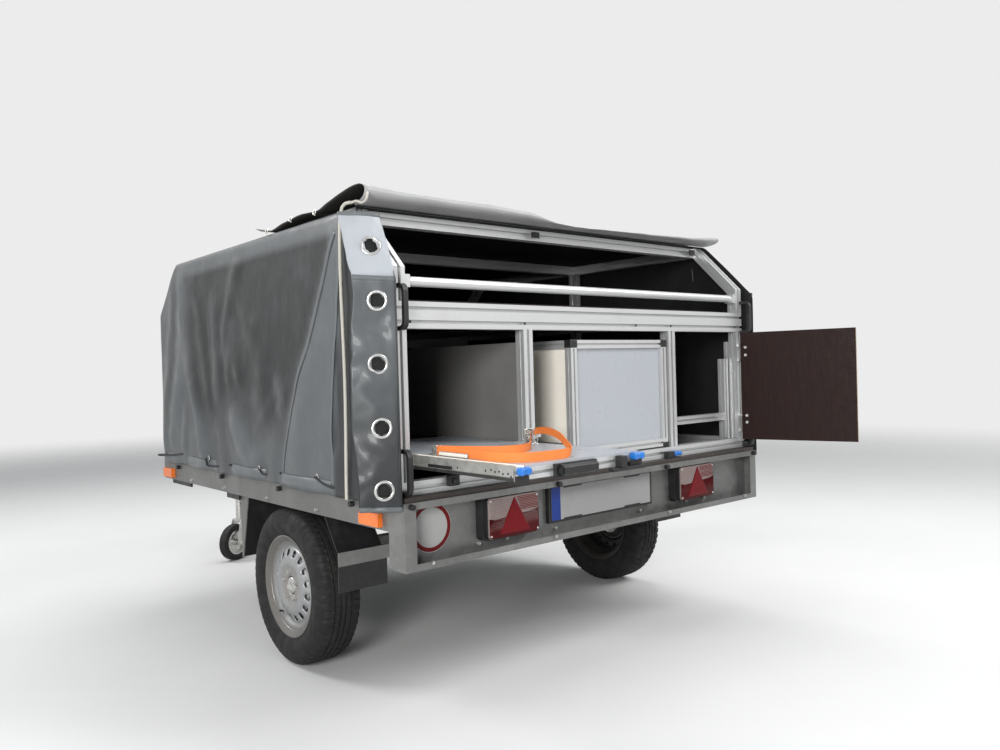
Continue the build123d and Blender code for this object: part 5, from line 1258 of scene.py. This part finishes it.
SIGN_X = -765.0
SIGN_Z = 571.0
SIGN_RADIUS = 75.0
SIGN_DISC = ((0, 0.1), (0, SIGN_RADIUS), (1.2, SIGN_RADIUS), (1.6, SIGN_RADIUS - 1), (1.6, 0.1))
SIGN_RING = (
    (1.2, SIGN_RADIUS - 15), (2.0, SIGN_RADIUS - 14.6), (2.0, SIGN_RADIUS - 2.4), (1.2, SIGN_RADIUS - 2),
)
SIGN_SPLIT = -676.0  # between the round sign and the plate


class MESH_OT_kitchen_signs(bpy.types.Operator):
    """Build the blank number plate and the blank round sign in their finishes"""
    bl_idname = "mesh.kitchen_signs"
    bl_label = "Blank plate and sign"

    def execute(self, context):
        split = SIGN_SPLIT / 1000
        mesh = merged_copy("blank_signs", "blank_plate", lambda middle: middle.x >= split)
        plate = settle("blank_plate", mesh, finishes["plate"], "trailer", smooth=False)
        bevelled(plate, width=0.7)
        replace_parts(plate, "blank_signs")
        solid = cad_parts["blank_signs"].data
        face_y = max(v.co.y * 1000 - REAR for v in solid.vertices if v.co.x < split)
        centre = Vector((SIGN_X, face_y, SIGN_Z))
        rounds = (("blank_disc", SIGN_DISC, "disc"), ("sign_ring", SIGN_RING, "reflector"))
        for name, profile, finish in rounds:
            shape = turned(profile, centre, REARWARD, steps=72)
            piece(name, [shape], finish, "trailer", "sign", smooth=False)
        front = bed_box("blank_signs")[0][1]
        xs = [v.co.x * 1000 for v in mesh.vertices]
        zs = [v.co.z * 1000 - GROUND for v in mesh.vertices]
        x0, x1, z0, z1 = min(xs), max(xs), min(zs), max(zs)
        clips = [box((x, front - 0.1, z), (x + 90, front + 6, z + 8)) for z in (z0 - 3, z1 - 5)
                 for x in (x0 + 60, x1 - 150)]
        bevelled(piece("plate_clips", clips, "black", "trailer", "black_plastic", smooth=False), width=0.6)
        return {"FINISHED"}


def scatter_tree(name, material):
    """A node tree that sets a turned head on each point of a mesh, facing the point's own direction."""
    tree = bpy.data.node_groups.new(name, "GeometryNodeTree")
    face = tree.interface
    face.new_socket("Geometry", in_out="INPUT", socket_type="NodeSocketGeometry")
    for label, value, low in (("Width", 0.013, 0.002), ("Height", 0.004, 0.0005), ("Recess", 0.5, 0.0)):
        socket = face.new_socket(label, in_out="INPUT", socket_type="NodeSocketFloat")
        socket.default_value, socket.min_value = value, low
    socket = face.new_socket("Sides", in_out="INPUT", socket_type="NodeSocketInt")
    socket.default_value, socket.min_value = 16, 6
    face.new_socket("Geometry", in_out="OUTPUT", socket_type="NodeSocketGeometry")
    source, sink = tree.nodes.new("NodeGroupInput"), tree.nodes.new("NodeGroupOutput")

    def node(kind, settings=None, **inputs):
        return add_node(tree, kind, settings, **inputs)

    def times_of(a, b):
        return node("ShaderNodeMath", {"operation": "MULTIPLY"}, i0=a, i1=b).outputs[0]

    def cone(sides, low, high):
        return node("GeometryNodeMeshCone", {"fill_type": "NGON"}, Vertices=sides, Radius_Bottom=low,
                    Radius_Top=high, Depth=source.outputs["Height"]).outputs["Mesh"]

    radius = times_of(source.outputs["Width"], 0.5)
    head = cone(source.outputs["Sides"], radius, times_of(radius, 0.86))
    small = times_of(radius, source.outputs["Recess"])
    rise = node("ShaderNodeCombineXYZ", Z=times_of(source.outputs["Height"], 0.7))
    lift = node("GeometryNodeTransform", Geometry=cone(6, small, small), Translation=rise.outputs[0])
    cut = node("GeometryNodeMeshBoolean", {"operation": "DIFFERENCE"}, Mesh_1=head,
               Mesh_2=lift.outputs["Geometry"])
    way = node("GeometryNodeInputNamedAttribute", {"data_type": "FLOAT_VECTOR"}, Name="direction")
    turn = node("FunctionNodeAlignRotationToVector", {"axis": "Z"}, Vector=way.outputs["Attribute"])
    place = node("GeometryNodeInstanceOnPoints", Points=source.outputs["Geometry"],
                 Instance=cut.outputs["Mesh"], Rotation=turn.outputs["Rotation"])
    real = node("GeometryNodeRealizeInstances", Geometry=place.outputs["Instances"])
    paint = node("GeometryNodeSetMaterial", Material=material, Geometry=real.outputs["Geometry"])
    tree.links.new(paint.outputs["Geometry"], sink.inputs["Geometry"])
    return tree


def heads(name, spots, body, width, height, recess, sides, finish="bright", slot="steel"):
    """Sets a screw or bolt head at each (place, direction) on the bed, by geometry nodes."""
    mesh = bpy.data.meshes.new(name + "_places")
    mesh.from_pydata([at(*place) for place, way in spots], [], [])
    ways = mesh.attributes.new("direction", "FLOAT_VECTOR", "POINT")
    for item, (place, way) in zip(ways.data, spots):
        item.vector = Vector(way).normalized()
    keep = bpy.data.objects.new(name + "_places", mesh)
    bpy.context.scene.collection.objects.link(keep)
    only = keep.modifiers.new("Heads", "NODES")
    only.node_group = scatter_tree(name + "_tree", finishes[finish])
    values = {"Width": width / 1000, "Height": 2 * height / 1000, "Recess": recess, "Sides": sides}
    for item in only.node_group.interface.items_tree:
        if item.in_out == "INPUT" and item.name in values:
            only[item.identifier] = values[item.name]
    shape = bpy.data.meshes.new_from_object(keep.evaluated_get(bpy.context.evaluated_depsgraph_get()))
    bpy.data.objects.remove(keep)
    shape.name = name
    shape.materials.clear()
    return settle(name, shape, finishes[finish], body, smooth=False)


WHEEL_FACE = (
    # distance outward from the rim's middle, radius; the vents lie between the rows of VENT_ROWS
    (68.5, 177.0), (66, 175.5), (61, 173.5), (57, 169), (56, 161), (54, 151), (49, 144), (44, 139), (43, 136),
    (45, 133.5), (48, 131), (59.5, 103), (62.5, 96), (64, 86), (63.5, 78), (61, 70), (58, 64), (57, 58),
    (57, 40), (56, 35), (53, 32), (48, 31),
)
VENT_ROWS = (10, 11)
VENTS = 16
VENT_STEPS = 8
VENT_SIZE = 12.8
VENT_RINGS = ((VENT_SIZE, 0.6), (VENT_SIZE - 1.2, 5.0))  # radius and depth of the hole's edge and of its lip
DISC_THICK = 0.0022  # metres
# A near-black ring behind the vent holes, as distance outward and radius: painted shade that makes the holes
# read dark.
SHADE = ((0, 96), (0, 135), (1.5, 135), (1.5, 96))
CAP = ((8, 0.1), (8, 29), (14, 29), (17, 27), (19, 21), (20, 0.1))
CAP_OUT = 38.0
BOLTS = 5
BOLT_OUT = 56.8
BOLT_RADIUS = 49.0
BOLT_TURN = 0.3


def wheel_face(side):
    """The pressed disc of a wheel with its ring of vent holes, as points and faces."""
    points, faces = [], []
    around = VENTS * VENT_STEPS

    def spot(out, radius, turn):
        y, z = radius * math.cos(turn), radius * math.sin(turn)
        points.append(Vector((side * (WHEEL_X + out), WHEEL_Y + y, TYRE_RADIUS + z)))
        return len(points) - 1

    turns = [2 * math.pi * k / around for k in range(around)]
    rows = [[spot(out, radius, turn) for turn in turns] for out, radius in WHEEL_FACE]
    for i in range(len(rows) - 1):
        if i == VENT_ROWS[0]:
            continue
        for k in range(around):
            j = (k + 1) % around
            faces.append((rows[i][k], rows[i][j], rows[i + 1][j], rows[i + 1][k]))
    (out_a, wide), (out_b, narrow) = (WHEEL_FACE[i] for i in VENT_ROWS)
    middle = (wide + narrow) / 2
    for n in range(VENTS):
        first = n * VENT_STEPS
        rim = [rows[VENT_ROWS[0]][(first + k) % around] for k in range(VENT_STEPS + 1)]
        rim += [rows[VENT_ROWS[1]][(first + VENT_STEPS - k) % around] for k in range(VENT_STEPS + 1)]
        centre = 2 * math.pi * (first + VENT_STEPS / 2) / around
        hole, lip = [], []
        for index in rim:
            y, z = points[index].y - WHEEL_Y, points[index].z - TYRE_RADIUS
            radial = y * math.cos(centre) + z * math.sin(centre) - middle
            tangent = -y * math.sin(centre) + z * math.cos(centre)
            away = math.hypot(radial, tangent)
            for group, (reach, sunk) in zip((hole, lip), VENT_RINGS):
                r, s = middle + radial / away * reach, tangent / away * reach
                out = out_a + (out_b - out_a) * (wide - r) / (wide - narrow) - sunk
                group.append(spot(out, math.hypot(r, s), centre + math.atan2(s, r)))
        for k in range(len(rim)):
            j = (k + 1) % len(rim)
            faces.append((rim[k], rim[j], hole[j], hole[k]))
            faces.append((hole[k], hole[j], lip[j], lip[k]))
    return points, faces


class MESH_OT_kitchen_wheels(bpy.types.Operator):
    """Build the pressed wheel discs with vent holes and wheel bolts"""
    bl_idname = "mesh.kitchen_wheels"
    bl_label = "Wheel discs and bolts"

    def execute(self, context):
        for side, name in ((-1, "wheel_left"), (1, "wheel_right")):
            out = Vector((side, 0, 0))
            face = piece(name + "_disc", [wheel_face(side)], "wheel", name, "silver_paint")
            if sum(p.normal.x * p.area for p in face.data.polygons) * side < 0:
                face.data.flip_normals()
            walled(face, DISC_THICK, -1)
            axis = (side * (WHEEL_X + CAP_OUT), WHEEL_Y, TYRE_RADIUS)
            # Painted shade behind the vent holes.
            piece(name + "_shade", [turned(SHADE, axis, out, steps=48)], "inner", name, "black_plastic")
            piece(name + "_cap", [turned(CAP, axis, out, steps=40)], "bright", name, "steel")
            spots = []
            for k in range(BOLTS):
                turn = BOLT_TURN + 2 * math.pi * k / BOLTS
                y, z = BOLT_RADIUS * math.cos(turn), BOLT_RADIUS * math.sin(turn)
                spots.append(((side * (WHEEL_X + BOLT_OUT), WHEEL_Y + y, TYRE_RADIUS + z), out))
            heads(name + "_bolts", spots, name, width=17, height=5.5, recess=0.4, sides=6)
        return {"FINISHED"}


LEVERS = (
    # node, body, middle x, rear face y, middle z, width, depth, height
    ("tray_levers", "tray", -837.0, -440.0, 786.0, 37.0, 27.0, 22.0),
    ("tray_levers", "tray", -410.0, -440.0, 786.0, 44.0, 28.0, 22.0),
    ("beam_lever", "trailer", 399.0, 42.0, 690.0, 46.0, 22.0, 20.0),
)
LEVER_LINE = (
    # share of the width, share of the full section
    (0, 0.55), (0.04, 0.84), (0.12, 0.98), (0.24, 1.0), (0.36, 0.92), (0.44, 0.66), (0.52, 0.62),
    (0.60, 0.84), (0.72, 0.96), (0.86, 0.94), (0.95, 0.78), (1, 0.5),
)
LEVER_SIDES = 16
LEVER_SQUARE = 0.55


def lever_shape(x, rear, z, width, depth, height):
    """A thumb lever: two ribbed lobes with a waist between them."""
    points = []
    for along, swell in LEVER_LINE:
        for k in range(LEVER_SIDES):
            turn = 2 * math.pi * k / LEVER_SIDES
            c, s = (math.copysign(abs(v) ** LEVER_SQUARE, v) for v in (math.cos(turn), math.sin(turn)))
            y = rear - depth / 2 + depth / 2 * swell * c
            points.append(Vector((x - width / 2 + width * along, y, z + height / 2 * swell * s)))
    return points, skin(len(LEVER_LINE), LEVER_SIDES)


LATCH_Z = 777.0
LATCH_SHARE = 0.64
LATCH_SPAN = (-0.730, -0.569)  # metres
MOULDINGS = (
    # black pieces: name, body, rounding in mm, segments, then low and high corners of their boxes
    ("lever_seat", "tray", 1.6, 2, (
        ((-518, -462, 750), (-388, -440.5, 760)), ((-489, -466, 760), (-466, -440.5, 792)),
        ((-466, -454, 770), (-432, -448, 776)))),
    ("cabinet_caps", "cabinet", 3.5, 3, tuple(
        ((x0, y, z), (x1, y + 34.5, top)) for x0, x1 in ((-158, -124), (334, 368.5))
        for y, z, top in ((43.5, 1104, 1133), (714, 1104, 1133), (43.5, 720, 738)))),
    ("bay_stop", "trailer", 2.5, 2, (
        ((-712, 20, 690), (-674, 41.5, 722)), ((-704, 12, 697), (-684, 20, 713)))),
    ("roof_joint_plates", "trailer", 0.8, 2, tuple(
        ((x - 20, 237.6, 1512), (x + 20, 240.4, 1534)) for x in (-128, 812))),
)
POCKET_STEPS = 16
SLIDE_HOLES = (
    # y, z
    (-323, 779), (-339, 775), (-355, 777), (-370, 772), (-390, 774), (-401, 767), (-300, 775), (-180, 774),
    (-60, 771), (60, 774), (180, 774), (300, 774),
)
SLIDE_SLOTS = ((-156, -43), (120, 240))
SLOT_Z = 771.0
PLUGS = (-825, -372, 187, 395, 825)
CROSSMEMBER_BOLTS = (
    # x, y, z
    (-800, -0.1, 480), (-300, -0.1, 480), (300, -0.1, 480), (800, -0.1, 480), (-585, 51.9, 494),
    (-470, 51.9, 494), (470, 51.9, 494), (585, 51.9, 494), (-250, 51.9, 494), (190, 51.9, 494),
)
RAIL_BOLTS = (150, 520, 900, 1300, 1660, 1950)


def pocket_shape():
    """The dark pocket of the tray's latch: a drop-shaped face and a short wall."""
    points = []
    for k in range(POCKET_STEPS):
        turn = k * 2 * math.pi / POCKET_STEPS
        across = 20 * math.cos(turn) * (0.72 if math.cos(turn) < 0 else 1.5)
        points.append(Vector((-716 + across, -467.6, 776 + 9 * math.sin(turn))))
    points += [p + Vector((0, 2.2, 0)) for p in points]
    return points, [tuple(range(POCKET_STEPS)), *rows_to_faces(2, POCKET_STEPS, closed=True)]


class MESH_OT_kitchen_fittings(bpy.types.Operator):
    """Build the levers, latch, corner caps, slide holes, bolts and the jockey wheel's tyre"""
    bl_idname = "mesh.kitchen_fittings"
    bl_label = "Levers, caps and slide holes"

    def execute(self, context):
        for node, body in (("tray_levers", "tray"), ("beam_lever", "trailer")):
            parts = [lever_shape(*row[2:]) for row in LEVERS if row[0] == node]
            lever = piece(node.replace("_", "_thumb_"), parts, "blue", body, "blue_plastic")
            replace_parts(rounded(lever), node)
        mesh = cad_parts["tray_fittings"].data.copy()
        mesh.materials.clear()
        for v in mesh.vertices:
            if LATCH_SPAN[0] < v.co.x < LATCH_SPAN[1]:
                v.co.z = level(LATCH_Z) + (v.co.z - level(LATCH_Z)) * LATCH_SHARE
        latch = settle("tray_latch", mesh, finishes["black"], "tray", smooth=False)
        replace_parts(outward(latch), "tray_fittings")
        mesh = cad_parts["jockey_tyre"].data.copy()
        mesh.materials.clear()
        tyre = settle("jockey_roller", mesh, finishes["rubber"], "jockey_wheel", smooth=False)
        bevelled(outward(tyre, MERGE), width=9.0, segments=5)
        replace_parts(tyre, "jockey_tyre")
        for name, body, width, segments, corners in MOULDINGS:
            parts = [box(low, high) for low, high in corners]
            bevelled(piece(name, parts, "black", body, "black_plastic", smooth=False), width, segments)
        piece("latch_pocket", [pocket_shape()], "inner", "tray", "black_plastic", smooth=False)
        slide_x = bed_box("tray_runners")[0][0]
        # The slide's holes and slots are thin near-black discs and strips on its face: painted shade for the
        # openings.
        spots = [((slide_x, y, z), (-1, 0, 0)) for y, z in SLIDE_HOLES]
        heads("slide_holes", spots, "tray", width=6.5, height=0.15, recess=0.1, sides=14, finish="inner")
        slots = []
        for ends in SLIDE_SLOTS:
            line = [Vector((slide_x - 0.1, y, SLOT_Z)) for y in ends]
            slots.append(band(line, Vector((0, 0, 9)), thick=0.8))
        piece("slide_slots", slots, "inner", "tray", "steel", smooth=False)
        spots = [((x, 41.9, 1185), REARWARD) for x in PLUGS]
        heads("beam_plugs", spots, "trailer", width=9, height=1.0, recess=0.5, sides=16, finish="black",
              slot="black_plastic")
        bolt = {"width": context.scene.kitchen_sizes.screw * 1000, "height": 4.0, "recess": 0.45, "sides": 6}
        spots = [(place, REARWARD) for place in CROSSMEMBER_BOLTS]
        heads("crossmember_bolts", spots, "trailer", **bolt)
        spots = [((side * (HALF + 0.1), y, 588), (side, 0, 0)) for side in (-1, 1) for y in RAIL_BOLTS]
        heads("rail_bolts", spots, "trailer", **bolt)
        return {"FINISHED"}


DOOR_EASE = 0.0015  # metres cut back at the hinge
DOOR_SCREWS = (784, 812, 1066, 1098)


class MESH_OT_kitchen_door(bpy.types.Operator):
    """Build the plywood door with its raw edges over its solid"""
    bl_idname = "mesh.kitchen_door"
    bl_label = "Plywood door"

    def execute(self, context):
        mesh = merged_copy("door_panel", "door_board")
        low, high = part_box("door_panel")
        size = high - low
        thin = min(range(3), key=lambda i: size[i])
        indices = [0 if abs(face.normal[thin]) > 0.8 else 1 for face in mesh.polygons]
        out = max(mesh.polygons, key=lambda face: face.area).normal.copy()
        out = out if out.x < 0 else -out
        along = Vector((-out.y, out.x, 0)).normalized()
        along = along if along.y < 0 else -along
        start = min(v.co.dot(along) for v in mesh.vertices)
        for v in mesh.vertices:
            if v.co.dot(along) < start + 0.001:
                v.co += along * DOOR_EASE
        near = [v.co for v in mesh.vertices if v.co.dot(along) < start + 2 * DOOR_EASE]
        place = (max(near, key=lambda co: co.dot(out)) + along * 0.022) * 1000
        spots = [((place.x, place.y - REAR, z), out) for z in DOOR_SCREWS]
        screw = context.scene.kitchen_sizes.screw * 1000
        heads("door_screws", spots, "door", width=screw, height=2.2, recess=0.4, sides=20)
        boards = [finishes["film"], finishes["edge"]]
        board = settle("door_board", mesh, boards, "door", smooth=False, indices=indices)
        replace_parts(board, "door_panel")
        return {"FINISHED"}


PHOTO_CAMERA = (-2.1912, -5.0203, 0.6142)
PHOTO_HEADING = math.radians(40.46)
PHOTO_PITCH = math.radians(-0.55)
PHOTO_ROLL = math.radians(-1.63)
PHOTO_LENS = 29.61
LAMPS = (
    # name, place in metres, size in metres, power in watts
    ("Key", (3.2, -6.6, 4.6), 3.0, 360), ("Rake", (-3.4, 1.6, 4.2), 2.0, 180),
    ("Top", (0.8, -1.2, 5.4), 4.0, 200), ("Fill", (-4.4, -5.8, 1.5), 1.6, 235),
)
FLOOR_HALF = 14.0
FLOOR_FADE = (4.0, 11.0)


def make_floor():
    """The pale floor, which fades out at a distance."""
    pale = Finish("stage", "Pale floor", (0.66, 0.66, 0.65), 0.9)
    grain = pale.node("ShaderNodeTexNoise", Vector=pale.place, Scale=3.0)
    mix = pale.node("ShaderNodeMix", {"data_type": "RGBA"}, i0=grain.outputs["Fac"], i6=(0.66, 0.66, 0.65, 1),
                    i7=(0.70, 0.70, 0.69, 1))
    pale.feed(mix.outputs[2], "Base Color")
    away = pale.node("ShaderNodeVectorMath", {"operation": "LENGTH"}, i0=pale.place)
    clear = pale.node("ShaderNodeBsdfTransparent")
    blend = pale.node("ShaderNodeMixShader", i0=pale.ramp(away.outputs["Value"], *FLOOR_FADE),
                      i1=pale.shader.outputs[0], i2=clear.outputs[0])
    pale.tree.links.new(blend.outputs[0], pale.tree.nodes["Material Output"].inputs["Surface"])
    mesh = bpy.data.meshes.new("floor")
    corners = [(x * FLOOR_HALF, y * FLOOR_HALF, level(0)) for x, y in ((-1, -1), (1, -1), (1, 1), (-1, 1))]
    mesh.from_pydata(corners, [], [(0, 1, 2, 3)])
    mesh.materials.append(pale.material)
    ground = bpy.data.objects.new("stage_floor", mesh)
    bpy.context.scene.collection.objects.link(ground)


def make_world(world):
    """A soft cool light all round, behind a plain grey background."""
    world.use_nodes = True
    nodes, links = world.node_tree.nodes, world.node_tree.links
    back, seen = nodes["Background"], nodes.new("ShaderNodeBackground")
    for shade, colour, strength in ((back, (0.88, 0.93, 1.0, 1), 0.26), (seen, (0.84, 0.84, 0.84, 1), 1.0)):
        shade.inputs["Color"].default_value = colour
        shade.inputs["Strength"].default_value = strength
    path = nodes.new("ShaderNodeLightPath")
    most = path.outputs["Is Camera Ray"]
    for other in ("Is Glossy Ray", "Is Transmission Ray"):
        step = nodes.new("ShaderNodeMath")
        step.operation = "MAXIMUM"
        links.new(most, step.inputs[0])
        links.new(path.outputs[other], step.inputs[1])
        most = step.outputs[0]
    pick = nodes.new("ShaderNodeMixShader")
    for socket, source in zip(pick.inputs, (most, back.outputs[0], seen.outputs[0])):
        links.new(source, socket)
    links.new(pick.outputs[0], nodes["World Output"].inputs["Surface"])


class SCENE_OT_kitchen_stage(bpy.types.Operator):
    """Build the pale floor, the soft lights and the camera of the photograph"""
    bl_idname = "scene.kitchen_stage"
    bl_label = "Floor, light and camera"

    def execute(self, context):
        scene = context.scene
        make_floor()
        scene.world = bpy.data.worlds.new("Soft studio")
        make_world(scene.world)
        centre = at(0, 1000, 900)
        for name, place, size, power in LAMPS:
            lamp = bpy.data.lights.new(name, "AREA")
            lamp.size, lamp.energy = size, power
            obj = bpy.data.objects.new(name, lamp)
            obj.location = place
            obj.rotation_mode = "QUATERNION"
            obj.rotation_quaternion = (centre - Vector(place)).to_track_quat("-Z", "Y")
            scene.collection.objects.link(obj)
        camera = bpy.data.objects.new("Photo view", bpy.data.cameras.new("Photo view"))
        a, p, r = PHOTO_HEADING, PHOTO_PITCH, PHOTO_ROLL
        ahead = Vector((math.sin(a) * math.cos(p), math.cos(a) * math.cos(p), math.sin(p)))
        right = Vector((math.cos(a), -math.sin(a), 0))
        up = right.cross(ahead)
        right, up = math.cos(r) * right + math.sin(r) * up, math.cos(r) * up - math.sin(r) * right
        camera.matrix_world = Matrix((
            (right.x, up.x, -ahead.x, PHOTO_CAMERA[0]), (right.y, up.y, -ahead.y, PHOTO_CAMERA[1]),
            (right.z, up.z, -ahead.z, PHOTO_CAMERA[2]), (0, 0, 0, 1),
        ))
        camera.data.lens = PHOTO_LENS
        camera.data.sensor_width = 36
        camera.data.clip_start, camera.data.clip_end = 0.05, 200
        scene.collection.objects.link(camera)
        scene.camera = camera
        scene.view_settings.view_transform = "Standard"
        return {"FINISHED"}


class MESH_OT_kitchen_finishes(bpy.types.Operator):
    """Make the finishes and give each solid of the frame its own"""
    bl_idname = "mesh.kitchen_finishes"
    bl_label = "Finishes"

    def execute(self, context):
        for make in (make_metals, make_plastics, make_cloths):
            make(context.scene.kitchen_colours)
        for name, nodes in FINISH_OF.items():
            for node in nodes.split():
                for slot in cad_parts[node].material_slots:
                    slot.material = finishes[name]
        return {"FINISHED"}


OPERATORS = (
    SCENE_OT_kitchen_stage, MESH_OT_kitchen_finishes, MESH_OT_kitchen_canopy, MESH_OT_kitchen_flap,
    MESH_OT_kitchen_lapels, MESH_OT_kitchen_cords, MESH_OT_kitchen_strap, MESH_OT_kitchen_tyres,
    MESH_OT_kitchen_lamps, MESH_OT_kitchen_signs, MESH_OT_kitchen_door, MESH_OT_kitchen_wheels,
    MESH_OT_kitchen_fittings,
)


class VIEW3D_PT_kitchen(bpy.types.Panel):
    """Lists the steps that dress the trailer"""
    bl_idname = "VIEW3D_PT_kitchen"
    bl_label = "Kitchen trailer"
    bl_space_type = "VIEW_3D"
    bl_region_type = "UI"
    bl_category = "Kitchen trailer"

    def draw(self, context):
        for group in (context.scene.kitchen_sizes, context.scene.kitchen_colours):
            for name in group.__annotations__:
                self.layout.prop(group, name)
        for operator in OPERATORS:
            self.layout.operator(operator.bl_idname)


CLASSES = (KitchenColours, KitchenSizes, *OPERATORS, VIEW3D_PT_kitchen)


def register():
    for kind in CLASSES:
        bpy.utils.register_class(kind)
    bpy.types.Scene.kitchen_colours = PointerProperty(type=KitchenColours)
    bpy.types.Scene.kitchen_sizes = PointerProperty(type=KitchenSizes)


def unregister():
    del bpy.types.Scene.kitchen_sizes
    del bpy.types.Scene.kitchen_colours
    for kind in reversed(CLASSES):
        bpy.utils.unregister_class(kind)


def main():
    """Builds every piece in order."""
    register()
    for operator in OPERATORS:
        group, name = operator.bl_idname.split(".")
        getattr(getattr(bpy.ops, group), name)()


if __name__ == "__main__":
    main()
